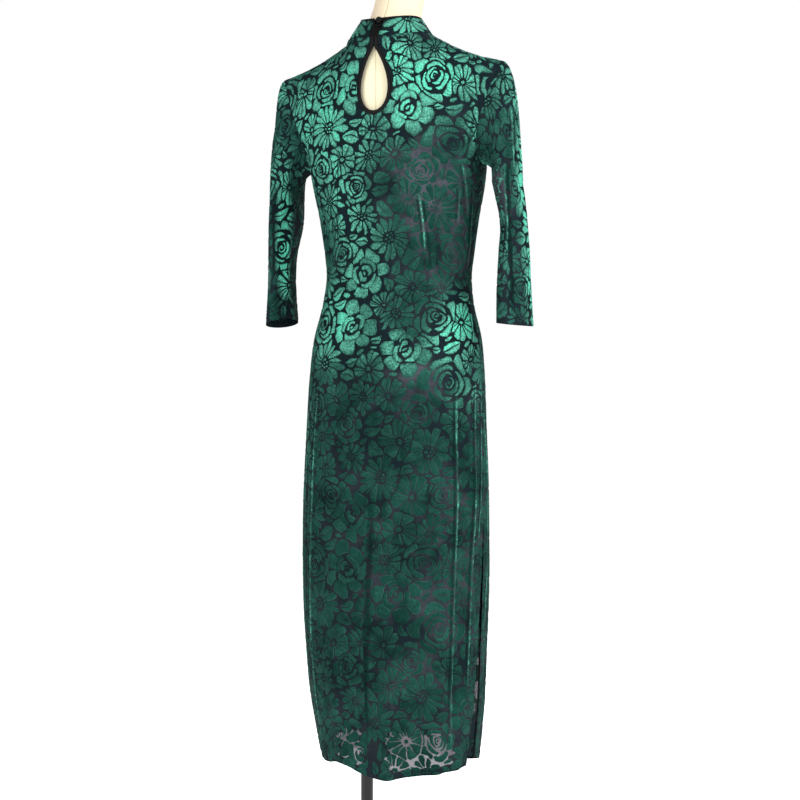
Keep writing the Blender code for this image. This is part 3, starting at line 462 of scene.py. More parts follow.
# How far threads or ribs lie apart.
GROUND_THREAD = 0.0009
LINING_THREAD = 0.0008
BINDING_RIB = 0.0006
JERSEY_RIB = 0.0011
JERSEY_STITCH = 0.0013


# ---- section maths
def smooth_step(value):
    value = np.clip(value, 0.0, 1.0)
    return value * value * (3 - 2 * value)


def unit(vectors):
    return vectors / np.maximum(np.linalg.norm(vectors, axis=-1, keepdims=True), 1e-12)


def round_turn(count):
    """Angles an even way apart round a circle."""
    return np.linspace(0, 2 * math.pi, count, endpoint=False)


def together(*values):
    """Arrays of one shape from numbers and arrays."""
    return np.broadcast_arrays(*(np.asarray(value, float) for value in values))


def curve_shares(u):
    """What a smooth curve takes of its start, its way there, its end and its way there."""
    return 2 * u**3 - 3 * u**2 + 1, u**3 - 2 * u**2 + u, 3 * u**2 - 2 * u**3, u**3 - u**2


def table_at(table, heights):
    """The columns of a section table at many heights, through a smooth curve."""
    rows = np.array(sorted(table))
    knots, values = rows[:, 0], rows[:, 1:]
    slopes = np.gradient(values, knots, axis=0)
    heights = np.clip(heights, knots[0], knots[-1])
    i = np.clip(np.searchsorted(knots, heights) - 1, 0, len(knots) - 2)
    step = (knots[i + 1] - knots[i])[..., None]
    first, out, last, back = curve_shares((heights - knots[i])[..., None] / step)
    low = first * values[i] + out * step * slopes[i]
    return low + last * values[i + 1] + back * step * slopes[i + 1]


def oval(angle, half_width, half_depth, centre_y, squareness=2.0):
    """Points of a level oval; angle 0 is at +X and a quarter turn is at the back, +Y."""
    power = 2.0 / squareness
    c, s = np.cos(angle), np.sin(angle)
    x = half_width * np.sign(c) * np.abs(c) ** power
    return x, centre_y + half_depth * np.sign(s) * np.abs(s) ** power


def between(grid, row, column):
    """A grid's values between its rows and columns."""
    row = np.clip(row, 0, grid.shape[0] - 1.000001)
    column = np.clip(column, 0, grid.shape[1] - 1.000001)
    r, c = row.astype(int), column.astype(int)
    a, b = (row - r)[..., None], (column - c)[..., None]
    low = grid[r, c] * (1 - b) + grid[r, c + 1] * b
    high = grid[r + 1, c] * (1 - b) + grid[r + 1, c + 1] * b
    return low * (1 - a) + high * a


@functools.cache
def panel_levels(panel):
    """Points an even length apart across a panel at each of LEVELS, and each level's length."""
    half_width, front, back, centre_y, squareness = table_at(BODY_SECTIONS, LEVELS).T[..., None]
    depth = back if panel == "back" else front
    angles = np.linspace(math.pi, 0, EVEN) * (1 if panel == "back" else -1)
    x, y = oval(angles, half_width, depth, centre_y, squareness)
    steps = np.hypot(np.diff(x), np.diff(y))
    lengths = np.concatenate([np.zeros((len(LEVELS), 1)), np.cumsum(steps, axis=1)], axis=1)
    even = np.linspace(0, 1, EVEN)
    rows = [
        np.stack([np.interp(even * reach[-1], reach, values) for values in (a, b)], axis=-1)
        for reach, a, b in zip(lengths, x, y)
    ]
    return np.array(rows), lengths[:, -1]


def across_section(height, panel, across, margins=(0.0, 0.0)):
    """Points at places across a panel, -1 to 1 by length, kept off the side seams by margins."""
    height, across = together(height, across)
    sections, lengths = panel_levels(panel)
    length = np.interp(height, LEVELS, lengths)
    at = margins[0] + (length - margins[0] - margins[1]) * (across + 1) / 2
    level = (height - LEVELS[0]) / (LEVELS[1] - LEVELS[0])
    xy = between(sections, level, at / length * (EVEN - 1))
    return np.concatenate([xy, height[..., None]], axis=-1)


def neckline(angle):
    """Points of the neckline; angle 0 is at +X and a quarter turn is at the centre back."""
    x, y = oval(angle, NECK_HALF_WIDTH, NECK_HALF_DEPTH, NECK_CENTRE_Y)
    end = np.where(np.sin(angle) > 0, NECK_HEIGHT["back"], NECK_HEIGHT["front"])
    height = NECK_HEIGHT["side"] + (end - NECK_HEIGHT["side"]) * np.sin(angle) ** 2
    return np.stack([x, y, height], axis=-1)


def top_edge(panel, across):
    """A panel's upper edge: the neckline in the middle and a shoulder seam on either side."""
    place = np.abs(across)
    sign = 1 if panel == "back" else -1
    round_neck = neckline(sign * (math.pi / 2) * (1 - np.minimum(place / NECK_POINT, 1)))
    share = np.maximum(place - NECK_POINT, 0)[..., None] / (1 - NECK_POINT)
    seam = neckline(np.array(0.0)) * (1 - share) + SHOULDER_TIP * share
    seam[..., 2] -= SHOULDER_DIP * np.sin(math.pi * share[..., 0])
    point = np.where((place <= NECK_POINT)[..., None], round_neck, seam)
    point[..., 0] *= np.where(across < 0, -1, 1)
    return point


def upper_surface(panel, across, climb):
    """A panel above the armpits, turning from the armpit section over to its upper edge."""
    across, climb = together(across, climb)
    turn = climb * math.pi / 2
    level, lift = 1 - np.cos(turn), np.sin(turn)
    cut = np.sqrt(1 - (1 - np.minimum(1.0, lift / ARMHOLE_ROUND)) ** 2) * ARMHOLE_CUT
    start = across_section(np.full(across.shape, ARMPIT_HEIGHT), panel, across, (cut, cut))
    spread = np.minimum(NECK_POINT_SPREAD * (1 - climb), 1 - np.abs(across))
    end = sum(top_edge(panel, across + spread * k) for k in (-1, -0.5, 0, 0.5, 1)) / 5
    return start + (end - start) * np.stack([lift, level, lift], axis=-1)


def fold_proud(panel, across, height):
    """How far the cloth stands out in its broad folds."""
    proud = np.zeros(np.shape(across))
    for where, centre, half, low, high, most in FOLDS:
        if where == panel:
            off = np.minimum(np.abs(across - centre) / half, 1)
            fade = smooth_step((high - height) / (FOLD_FADE * (high - low)))
            if low > HEM_HEIGHT:
                fade = fade * smooth_step((height - low) / (FOLD_FADE * (high - low)))
            proud += most * np.cos(off * math.pi / 2) ** 2 * fade
    return proud


def slit_margins(panel, height):
    opening = np.maximum(0.0, (SLIT_TOP - height) / (SLIT_TOP - HEM_HEIGHT))
    return [width * opening for width in SLIT_OPENING[panel]]


def lower_surface(panel, across, share):
    """A panel below the armpits; share goes from 0 at the hem to 1 at the armpit."""
    across, share = together(across, share)
    rise = table_at(HEM_RISE[panel], across)[..., 0] * (1 - smooth_step(share / HEM_FADE))
    height = HEM_HEIGHT + (ARMPIT_HEIGHT - HEM_HEIGHT) * share + rise
    point = across_section(height, panel, across, slit_margins(panel, height))
    away = point[..., :2].copy()
    away[..., 1] -= table_at(BODY_SECTIONS, height)[..., 3]
    point[..., :2] += unit(away) * fold_proud(panel, across, height)[..., None]
    return point


# ---- keyhole
def climb_at(height):
    """How far up the upper surface the centre back reaches a height."""
    return np.arcsin((height - ARMPIT_HEIGHT) / (NECK_HEIGHT["back"] - ARMPIT_HEIGHT)) * 2 / math.pi


def keyhole_rows(distance):
    """The keyhole's edge moved into the cloth by a distance: x and height, from its bottom up."""
    even = np.linspace(0, 1, TEARDROP_ROWS + 1)
    share = (1 - np.cos(math.pi * even)) / 2
    share += (even - share) * TEARDROP_EVEN
    fall = 0.5 * (1 - KEYHOLE_WIDEST) / KEYHOLE_WIDEST
    narrow = (share / KEYHOLE_WIDEST) ** 0.5 * ((1 - share) / (1 - KEYHOLE_WIDEST)) ** fall
    x = KEYHOLE_HALF_WIDTH * narrow + SEAM_GAP * share
    height = KEYHOLE_BOTTOM + (KEYHOLE_TIP - KEYHOLE_BOTTOM) * share
    top = np.linspace(KEYHOLE_TIP, NECK_HEIGHT["back"], SLIT_ROWS + 1)[1:]
    edge = np.stack([np.append(x, np.full(SLIT_ROWS, SEAM_GAP)), np.append(height, top)], axis=-1)
    steps = unit(np.diff(edge, axis=0))
    along = unit(np.concatenate([[[1.0, 0.0]], steps[1:] + steps[:-1], [[0.0, 1.0]]]))
    moved = edge + distance * np.stack([along[:, 1], -along[:, 0]], axis=-1)
    moved[-1, 1] = NECK_HEIGHT["back"]
    return moved


def back_at(x, height):
    """Points of the back's upper surface over x, in the row of a height, and their outward ways."""
    across, climb = x / HALF_BACK_WIDTH, climb_at(np.minimum(height, NECK_HEIGHT["back"]))
    for _ in range(BACK_PASSES):
        here = upper_surface("back", across, climb)
        by_across = (upper_surface("back", across + PROBE, climb) - here) / PROBE
        across = across + (x - here[..., 0]) / by_across[..., 0]
    normal = np.cross(by_across, upper_surface("back", across, climb - PROBE) - here)
    normal[..., 0] = 0.0
    return here, unit(normal)


# ---- cloth grids
def crease_lines(name):
    """A place's creases, all in metres."""
    scale = SLEEVE_GIRTH if name in ("left", "right") else 1.0
    lines = CREASES.get(name, ())
    return [(x0 * scale, z0, x1 * scale, z1, *rest) for x0, z0, x1, z1, *rest in lines]


def crease_lift(name, across, height):
    """How far fine creases lift the cloth; across and height are in metres."""
    strength = bpy.context.scene.cheongsam.crease_depth
    lift = np.zeros(np.shape(across))
    for x0, z0, x1, z1, half, proud, bow in crease_lines(name):
        way = np.array([x1 - x0, z1 - z0])
        length = np.linalg.norm(way)
        way /= length
        along = ((across - x0) * way[0] + (height - z0) * way[1]) / length
        inside = np.clip(along, 0, 1)
        off = (across - x0) * way[1] - (height - z0) * way[0] - bow * 4 * inside * (1 - inside)
        fade = smooth_step(along / 0.3) * smooth_step((1 - along) / 0.3)
        hump = np.cos(np.minimum(np.abs(off) / half, 1) * math.pi / 2) ** 2
        lift += proud * strength * hump * fade
    return lift


def way_out(points, turned):
    """Outward directions over a grid of points."""
    out = np.cross(np.gradient(points, axis=1), np.gradient(points, axis=0))
    return unit(-out if turned else out)


class Block:
    """A grid of cloth: its points, their outward directions and their places on the flat cloth."""

    def __init__(self, points, flat, turned):
        self.points, self.flat, self.turned = points, flat, turned
        self.normals = way_out(points, turned)

    def lifted(self, lift):
        return Block(self.points + self.normals * lift[..., None], self.flat, self.turned)

    def find(self, flat):
        """Rows and columns of places on the flat cloth, and how far off the cloth each one is."""
        rows, columns = self.flat.shape[:2]
        down, over = max(rows // 12, 1), max(columns // 8, 1)
        starts = np.mgrid[:rows:down, :columns:over].reshape(2, -1)
        spots = self.flat[starts[0], starts[1]]
        parts = np.array_split(flat, len(flat) // FIND_AT_ONCE + 1)
        nearest = [np.argmin(((part[:, None] - spots) ** 2).sum(-1), axis=1) for part in parts]
        row, column = starts[:, np.concatenate(nearest)].astype(float)
        for _ in range(FIND_PASSES):
            here = between(self.flat, row, column)
            by_row = between(self.flat, np.minimum(row + 0.5, rows - 1), column)
            by_row -= between(self.flat, np.maximum(row - 0.5, 0), column)
            by_column = between(self.flat, row, np.minimum(column + 0.5, columns - 1))
            by_column -= between(self.flat, row, np.maximum(column - 0.5, 0))
            miss = flat - here
            area = by_row[:, 0] * by_column[:, 1] - by_row[:, 1] * by_column[:, 0]
            area = np.where(np.abs(area) < 1e-12, 1e-12, area)
            down = (miss[:, 0] * by_column[:, 1] - miss[:, 1] * by_column[:, 0]) / area
            over = (miss[:, 1] * by_row[:, 0] - miss[:, 0] * by_row[:, 1]) / area
            row = np.clip(row + np.clip(down, -FIND_REACH, FIND_REACH), 0, rows - 1)
            column = np.clip(column + np.clip(over, -FIND_REACH, FIND_REACH), 0, columns - 1)
        return row, column, np.linalg.norm(flat - between(self.flat, row, column), axis=1)

    def size(self):
        """Width and height of the flat cloth."""
        return float(np.ptp(self.flat[..., 0])), float(np.ptp(self.flat[..., 1]))

    def area(self):
        a = self.points[1:, 1:] - self.points[:-1, :-1]
        b = self.points[1:, :-1] - self.points[:-1, 1:]
        return np.linalg.norm(np.cross(a, b), axis=-1).sum() / 2


def panel_rows():
    """Lower shares, then upper climbs, which step with the keyhole's outer edge."""
    notch = climb_at(keyhole_rows(BINDING_WIDTH + SEAM_GAP)[:, 1])
    below = np.linspace(0, notch[0], BELOW_KEYHOLE_ROWS + 1)[1:-1]
    return np.linspace(0, 1, LOWER_ROWS + 1), np.concatenate([below, notch])


@functools.cache
def panel_blocks(panel):
    """A panel in two halves, the wearer's right and left, that meet at the centre line."""
    shares, climbs = panel_rows()
    places = np.linspace(0, 1, COLUMNS + 1)
    sign = 1 if panel == "back" else -1
    blocks = []
    for side in (-1, 1):
        lower = lower_surface(panel, side * places[None], shares[:, None])
        grid = np.broadcast_to(places, (len(climbs), COLUMNS + 1)).copy()
        if panel == "back":
            notch = keyhole_rows(BINDING_WIDTH + SEAM_GAP)
            start = len(climbs) - len(notch)
            edge = (notch[1:, 0] / HALF_BACK_WIDTH)[:, None]
            inner = edge + (NECK_POINT - edge) * places / NECK_POINT
            grid[start + 1 :] = np.where(places >= NECK_POINT, places, inner)
        upper = upper_surface(panel, side * grid, climbs[:, None])
        if panel == "back":
            upper[start + 1 :, 0] = back_at(side * notch[1:, 0], notch[1:, 1])[0]
        points = np.concatenate([lower, upper])
        points[..., 1] += sign * SEAM_GAP / 2
        steps = np.linalg.norm(np.diff(points, axis=1), axis=-1)
        first = np.abs(points[:, :1, 0])
        u = side * np.concatenate([first, first + np.cumsum(steps, axis=1)], axis=1)
        rise = np.linalg.norm(np.diff(points[..., 1:], axis=0), axis=-1)
        v = np.concatenate([np.zeros((1, COLUMNS + 1)), np.cumsum(rise, axis=0)])
        v += ARMPIT_HEIGHT - v[LOWER_ROWS]
        heights = points[..., 2]
        block = Block(points, np.stack([u, v], axis=-1), (side > 0) == (panel == "back"))
        blocks.append(block.lifted(crease_lift(panel, u, heights)))
    return blocks


def keyhole_flat():
    """The keyhole's bottom on the flat cloth."""
    blocks = panel_blocks("back")
    row = LOWER_ROWS + BELOW_KEYHOLE_ROWS
    return blocks[0].flat[row, 0, 1] + BINDING_WIDTH


def armhole_ring(side):
    """The armhole's points and directions, from the armpit up the back and down the front."""
    half = (side + 1) // 2
    back, front = (panel_blocks(panel)[half] for panel in ("back", "front"))
    points = np.concatenate([back.points[LOWER_ROWS:, -1], front.points[-2:LOWER_ROWS:-1, -1]])
    normals = np.concatenate([back.normals[LOWER_ROWS:, -1], front.normals[-2:LOWER_ROWS:-1, -1]])
    return points, normals


@functools.cache
def sleeve_block(name):
    """A sleeve, whose columns run round from the armpit by the back and whose rows run down."""
    side = 1 if name == "left" else -1
    start, out = armhole_ring(side)
    count = len(start)
    along = (np.roll(start, -1, axis=0) - np.roll(start, 1, axis=0)) / 2
    away = unit(np.cross(out, along) * side)
    start = start - out * SLEEVE_TUCK
    table = SLEEVE_SECTIONS[name]
    first, last = table[0][0], table[-1][0]
    lengths = np.concatenate([[0], np.cumsum(np.linalg.norm(along, axis=1))])
    angles = 2 * math.pi * lengths[:-1] / lengths[-1]
    dent_at, dent_half, dent_deep = SLEEVE_DENT[name]

    def tube(height):
        centre_x, centre_y, half_width, half_depth = table_at(table, np.array(height))
        off = np.abs((angles - dent_at + math.pi) % (2 * math.pi) - math.pi)
        share = smooth_step((first - height) / DENT_FADE)
        dent = dent_deep * share * np.cos(np.minimum(off / dent_half, 1) * math.pi / 2) ** 2
        x = centre_x - (half_width - dent) * np.cos(angles)
        y = centre_y + (half_depth - dent) * np.sin(angles)
        inner = 0.5 + 0.5 * np.cos(angles)
        rise = CUFF_RISE[name] * inner * smooth_step((first - height) / (first - last))
        return np.stack([side * x, y, height + rise], axis=-1)

    outwards, across_seam, upwards = SLEEVE_LEAVE
    end = tube(first)
    leave = away * across_seam + np.array([side * outwards, 0, upwards])
    arrive = np.linalg.norm(end - start, axis=1)[:, None] * np.array([0, 0, -SLEEVE_ARRIVE])
    parts = (start, leave, end, arrive)
    rows = [
        sum(share * part for share, part in zip(curve_shares(u), parts))
        for u in np.linspace(0, 1, SLEEVE_HEAD_ROWS + 1)
    ]
    rows += [tube(height) for height in np.linspace(first, last, SLEEVE_TUBE_ROWS + 1)[1:]]
    points = np.array(rows)
    points = np.concatenate([points, points[:, :1]], axis=1)
    steps = np.linalg.norm(np.diff(points, axis=1), axis=-1)
    u = np.concatenate([np.zeros((len(points), 1)), np.cumsum(steps, axis=1)], axis=1)
    u -= u[:, count // 2 : count // 2 + 1]
    falls = np.linalg.norm(np.diff(points, axis=0), axis=-1)
    v = -np.concatenate([np.zeros((1, count + 1)), np.cumsum(falls, axis=0)])
    v += last - v[-1:]
    block = Block(points, np.stack([u, v], axis=-1), side < 0)
    block.normals[:, 0] = block.normals[:, -1] = unit(block.normals[:, 0] + block.normals[:, -1])
    share = np.append(angles, 2 * math.pi) / (2 * math.pi)
    across = np.broadcast_to(share * SLEEVE_GIRTH, points.shape[:2])
    lift = crease_lift(name, across, points[..., 2])
    return block.lifted(lift * smooth_step(np.arange(len(points)) / SLEEVE_CREASE_ROWS)[:, None])


# ---- collar
def collar_angles():
    """Angles round the neckline, from the wearer's left of the back opening by the front."""
    edge = OPENING_EDGE / HALF_BACK_WIDTH
    start = math.pi / 2 * (1 - edge / NECK_POINT)
    return np.linspace(start, -math.pi - start, 151)


def collar_point(angle, share):
    """The collar's outer face; share goes from 0 at the neckline to 1 at its top edge."""
    angle, share = together(angle, share)
    low = neckline(angle) + np.array([0, 0, SEAM_GAP * 1.5])
    x, y = oval(angle, COLLAR_TOP_HALF_WIDTH, COLLAR_TOP_HALF_DEPTH, COLLAR_TOP_CENTRE_Y)
    end = np.where(np.sin(angle) > 0, COLLAR_RISE["back"], COLLAR_RISE["front"])
    rise = COLLAR_RISE["side"] + (end - COLLAR_RISE["side"]) * np.sin(angle) ** 2
    high = np.stack([x, y, low[..., 2] + rise], axis=-1)
    return low + (high - low) * share[..., None]


def collar_normal(angle):
    step = 1e-3
    round_it = collar_point(angle + step, 0.5) - collar_point(angle - step, 0.5)
    return unit(np.cross(round_it, collar_point(angle, 1.0) - collar_point(angle, 0.0)))


def squared_off(points):
    """Ends a strip round the neck squarely at the back opening."""
    for i in (0, -1):
        points[..., i, 0] = np.copysign(OPENING_EDGE, points[..., i, 0])
    return points


@functools.cache
def collar_block():
    shares = np.linspace(0, 1, COLLAR_ROWS + 1)[:, None]
    points = squared_off(collar_point(collar_angles()[None], shares))
    steps = np.linalg.norm(np.diff(points[COLLAR_ROWS // 2], axis=0), axis=-1)
    u = np.concatenate([[0], np.cumsum(steps)])
    tall = np.linalg.norm(points[-1] - points[0], axis=-1)
    v = shares * tall
    return Block(points, np.stack([np.broadcast_to(u, v.shape), v], axis=-1), True)


# ---- motifs
def polar(radius, angle):
    return np.stack([radius * np.cos(angle), radius * np.sin(angle)], axis=-1)


def turned(along, across, turn, x=0.0, y=0.0):
    c, s = math.cos(turn), math.sin(turn)
    return np.stack([x + along * c - across * s, y + along * s + across * c], axis=-1)


def petal(angle, near, far, half, bend):
    """A narrow petal's two edges from its base to its tip."""
    r = near + (far - near) * MEDIUM
    sway = bend * far * (MEDIUM - 0.3) ** 2
    return turned(r, sway + NARROW * half, angle), turned(r, sway - NARROW * half, angle)


def split_petal(angle, share, near, far, notch):
    """A wide petal in two halves, parted by a vein that runs from its base to its middle."""
    r = near + (far - near) * MEDIUM
    wide = far * 0.74 * math.tan(share) - LINE / 2
    w = np.clip(r * math.tan(share) - LINE / 2, 0.0005, wide)
    w *= np.interp(MEDIUM, (0.0, 0.6, 0.8, 0.94, 1.0), (1.0, 1.0, 0.93, 0.62, 0.30))
    tip = r.copy()
    tip[-1] -= notch * (far - near)
    vein = np.minimum(np.maximum(VEIN * (1 - MEDIUM / 0.62), 0.0), w * 0.6)
    return [
        (turned(r, w, angle), turned(tip, vein, angle)),
        (turned(tip, -vein, angle), turned(r, -w, angle)),
    ]


def crescent(start, end, near, far, lean, ruffle):
    """A petal that curls round the flower's middle, between two radii over a range of angles.
    Its outer edge may lean round, and be ruffled."""
    angles = start + (end - start) * FINE
    arch = np.maximum(1 - np.abs(2 * FINE - 1) ** 3.2, 0) ** 0.55
    outer = near + (far - near) * arch * (1 + ruffle * np.sin(5 * math.pi * FINE) * arch)
    inner = near + (far - near) * 0.16 * (1 - arch)
    return polar(inner, angles), polar(outer, angles + lean * arch)


def ellipse(x, y, along, across, turn):
    u = 2 * COARSE - 1
    w = np.sqrt(np.maximum(1 - u**2, 0)) * across
    return turned(u * along, w, turn, x, y), turned(u * along, -w, turn, x, y)


def daisy(radius, turn):
    """Narrow petals of two lengths round a ring of dots."""
    count = min(max(2 * round(radius / 0.0052), 12), 16)
    pads = [ellipse(0.0, 0.0, 0.05 * radius, 0.05 * radius, 0.0)]
    for i in range(count):
        angle = turn + 2 * math.pi * i / count
        far = radius * (1.0 if i % 2 else 0.84) * (1 + 0.05 * math.sin(5 * i + radius * 900))
        wide = min(0.775 * far * math.tan(math.pi / count) - LINE / 2, 0.15 * radius)
        pads.append(petal(angle, 0.25 * radius, far, wide, 0.08 * math.sin(3 * i)))
    for i in range(6):
        x, y = polar(0.15 * radius, turn + math.pi / 3 * i)
        pads.append(ellipse(x, y, 0.055 * radius, 0.055 * radius, 0.0))
    return pads


def blossom(radius, turn):
    """Six to eight round petals, each split part of the way down, round one large dot."""
    count = 6 + int(radius * 1000) % 3
    pads = [ellipse(0.0, 0.0, 0.12 * radius, 0.12 * radius, 0.0)]
    for i in range(count):
        far = radius * (1 + 0.06 * math.sin(7 * i + radius * 1700))
        angle = turn + 2 * math.pi * i / count
        pads += split_petal(angle, math.pi / count, 0.22 * radius, far, 0.10)
    return pads


def ringed(radius, turn, heart, rings):
    """Rings of petals that lean round a small heart."""
    pads = [ellipse(0.0, 0.0, heart * radius, heart * 0.7 * radius, turn)]
    for count, near, far, start, cover, lean, ruffle in rings:
        step = 2 * math.pi / count
        for i in range(count):
            a = turn + start + step * i
            b = a + step * cover - LINE * 0.75 / (radius * (near + far) / 2)
            grow = 1 + 0.06 * math.sin(3 * i + radius * 1300) * (far > 0.8)
            reach = far * radius * grow - LINE * 0.4
            pads.append(crescent(a, b, near * radius, reach, lean, ruffle))
    return pads


def rose(radius, turn):
    """A curled heart inside rings of petals that lean round it."""
    rings = (
        # petals, near, far, first angle, share of the turn, lean, ruffle
        (1, 0.11, 0.22, 0.0, 0.80, 0.3, 0.0),
        (2, 0.24, 0.40, 1.3, 0.92, 0.25, 0.0),
        (3, 0.42, 0.62, 0.5, 0.95, 0.22, 0.02),
        (6, 0.64, 1.02, 0.9, 1.00, 0.10, 0.03),
    )
    return ringed(radius, turn, 0.07, rings)


def peony(radius, turn):
    """Two cupped petals round a small heart, and large ruffled ones behind them."""
    rings = (
        (2, 0.12, 0.30, 0.6, 0.88, 0.20, 0.04),
        (3, 0.32, 0.56, 0.2, 0.96, 0.16, 0.06),
        (7, 0.50, 1.04, 0.5, 1.00, 0.06, 0.05),
    )
    return ringed(radius, turn, 0.08, rings)


def leaf(length, turn):
    """A short leaf is one pad; a longer one has two halves that part along the vein."""
    if length <= SHORT_LEAF:
        return [ellipse(0.0, 0.0, length / 2, 0.24 * length, turn)]
    outer = LEAF * 0.29 * length
    bend = 0.10 * length * (4 * (MEDIUM - 0.5) ** 2 - 0.5)
    along = length * (MEDIUM - 0.5)
    vein = np.minimum(np.maximum(VEIN * (1 - MEDIUM / 0.8), 0.0), outer)
    return [
        (turned(along, bend + outer, turn), turned(along, bend + vein, turn)),
        (turned(along, bend - vein, turn), turned(along, bend - outer, turn)),
    ]


MOTIFS = {"daisy": daisy, "blossom": blossom, "rose": rose, "peony": peony}


def kept_apart(pads, index):
    """Trims a flower's petals where they would run into its neighbours, halfway between the two."""
    _, x, y, radius, _ = FLOWERS[index]
    limits = []
    for j, (_, xj, yj, rj, _) in enumerate(FLOWERS):
        for sx in (-1, 0, 1):
            for sy in (-1, 0, 1):
                if (j, sx, sy) == (index, 0, 0):
                    continue
                away = np.array([xj + sx * REPEAT[0] - x, yj + sy * REPEAT[1] - y])
                distance = np.linalg.norm(away)
                if distance < (radius + rj) * 1.1 + LINE:
                    reach = (distance**2 + radius**2 - rj**2) / (2 * distance) - LINE / 2
                    limits.append((away / distance, reach))
    trimmed = []
    for edges in pads:
        moved = []
        for edge in edges:
            shrink = np.ones(len(edge))
            for way, reach in limits:
                along = edge @ way
                over = along > reach
                shrink[over] = np.minimum(shrink[over], reach / along[over])
            moved.append(edge * shrink[:, None])
        trimmed.append(tuple(moved))
    return trimmed


@functools.cache
def repeat_pads():
    """All pads of one repeat: the charted flowers, then leaves wherever ground is left."""
    placed = []
    for i, (kind, x, y, radius, turn) in enumerate(FLOWERS):
        for edges in kept_apart(MOTIFS[kind](radius * FLOWER_SCALE, math.radians(turn)), i):
            placed.append(tuple(edge + np.array([x, y]) for edge in edges))
    shape = (round(REPEAT[1] / CELL), round(REPEAT[0] / CELL))
    taken = np.zeros(shape, bool)

    def mark(edges):
        left, right = edges
        for t in np.linspace(0, 1, 9):
            line = left * (1 - t) + right * t
            steps = (0, 0.25, 0.5, 0.75)
            fine = np.concatenate([line[:-1] * (1 - s) + line[1:] * s for s in steps])
            i, j = np.round(fine[:, ::-1] / CELL).astype(int).T
            taken[i % shape[0], j % shape[1]] = True

    for edges in placed:
        mark(edges)
    around = [(0, 0), (1, 0), (-1, 0), (0, 1), (0, -1)]
    for length in LEAF_LENGTHS:
        for step in range(LEAF_TURNS):
            turn = math.radians((step * 150 + 20) % 360)
            while True:
                grown = np.zeros(shape, bool)
                for shift in around:
                    grown |= np.roll(taken, shift, (0, 1))
                free = np.ones(shape, bool)
                for left, right in leaf(length, turn):
                    for x, y in np.concatenate([left, (left + right) / 2, right]):
                        free &= ~np.roll(grown, (-round(y / CELL), -round(x / CELL)), (0, 1))
                spots = np.argwhere(free)
                if not len(spots):
                    break
                centre = spots[len(spots) // 2][::-1] * CELL
                for edges in leaf(length, turn):
                    placed.append(tuple(edge + centre for edge in edges))
                    mark(placed[-1])
    return placed


# ---- pile
def patched(table, place, base, points):
    """A base value with a place's soft patches of more or less; 0 to 1."""
    x, z = points[..., 1 if place in ("left", "right") else 0], points[..., 2]
    value = np.full(x.shape, base)
    for cx, cz, wide, tall, lean, change in table.get(place, ()):
        across = (x - cx - lean * (z - cz)) / wide
        value += change * np.exp(-(across**2) - ((z - cz) / tall) ** 2)
    # Slow waves keep the patches uneven.
    value *= 1 + 0.3 * np.sin(x * 61 + 2.1 * np.sin(z * 23)) * np.sin(z * 37 + 1.7 * np.sin(x * 31))
    return np.clip(value, 0, 1)


def drawn_loosely(flat):
    """Moves places on the flat cloth a little, so that no two petals are alike."""
    moved = flat.copy()
    for length, far, turn in LOOSENESS:
        ways = np.array([[math.cos(turn), math.sin(turn)], [-math.sin(turn), math.cos(turn)]])
        a, b = (flat @ ways.T * (2 * math.pi / length)).transpose(-1, *range(flat.ndim - 1))
        moved[..., 0] += far * np.sin(b + 1.3 * np.sin(a * 0.61 + 0.7))
        moved[..., 1] += far * np.sin(a + 1.7 * np.sin(b * 0.53 + 2.1))
    return moved


def laid_pads(blocks, anchor, mirror=1, split_above=None):
    """The pads that fall on a cloth: for each count of stations, points, outward directions and
    flat places.
    Pads above split_above stay whole on one side of the cloth's opening."""
    height = bpy.context.scene.cheongsam.pile_height
    flats = [block.flat.reshape(-1, 2) for block in blocks]
    low = np.min([flat.min(axis=0) for flat in flats], axis=0) - anchor
    high = np.max([flat.max(axis=0) for flat in flats], axis=0) - anchor
    repeat = np.array(REPEAT)
    for stations in (FINE, MEDIUM, COARSE):
        pads = np.array([edges for edges in repeat_pads() if len(edges[0]) == len(stations)])
        pads[..., 0] *= mirror
        tiles = []
        first, last = np.floor(low / repeat).astype(int) - 1, np.ceil(high / repeat).astype(int) + 1
        for i in range(first[0], last[0] + 1):
            for j in range(first[1], last[1] + 1):
                moved = pads + np.array([i, j]) * repeat
                middle = moved.mean(axis=(1, 2))
                inside = ((middle > low - PAD_MARGIN) & (middle < high + PAD_MARGIN)).all(axis=1)
                tiles.append(moved[inside])
        pads = drawn_loosely(np.concatenate(tiles)) + anchor
        left, right = pads[:, 0], pads[:, 1]
        width = np.linalg.norm(right - left, axis=-1)
        inset = np.minimum(PILE_BEVEL / np.maximum(width, 1e-9), 0.3)
        shares = np.stack([0 * inset, inset, 0 * inset + 0.5, 1 - inset, 0 * inset + 1], axis=-1)
        flat = left[:, :, None] * (1 - shares[..., None]) + right[:, :, None] * shares[..., None]
        shoulder = PILE_SHOULDER * height
        lift = np.array([PILE_RIM, shoulder, height, shoulder, PILE_RIM])
        lift = np.broadcast_to(lift, shares.shape).copy()
        lift[:, 0] = lift[:, -1] = PILE_RIM
        middle = flat.mean(axis=(1, 2))
        side = np.where(flat[..., 0] < 0, 0, 1)
        if split_above is not None:
            whole = flat[..., 1].max(axis=(1, 2)) > split_above
            side[whole] = np.where(middle[whole, 0] < 0, 0, 1)[:, None, None]
        if len(blocks) == 1:
            side[:] = 0
        points = np.zeros((*flat.shape[:3], 3))
        normals = np.zeros_like(points)
        off = np.zeros(flat.shape[:3])
        for b, block in enumerate(blocks):
            mine = side == b
            row, column, off[mine] = block.find(flat[mine])
            points[mine] = between(block.points, row, column)
            normals[mine] = between(block.normals, row, column)
        kept = (off > PAD_MISS).mean(axis=(1, 2)) < PAD_LOSS
        points, normals, lift, flat = points[kept], unit(normals[kept]), lift[kept], flat[kept]
        yield points + normals * lift[..., None], normals, flat


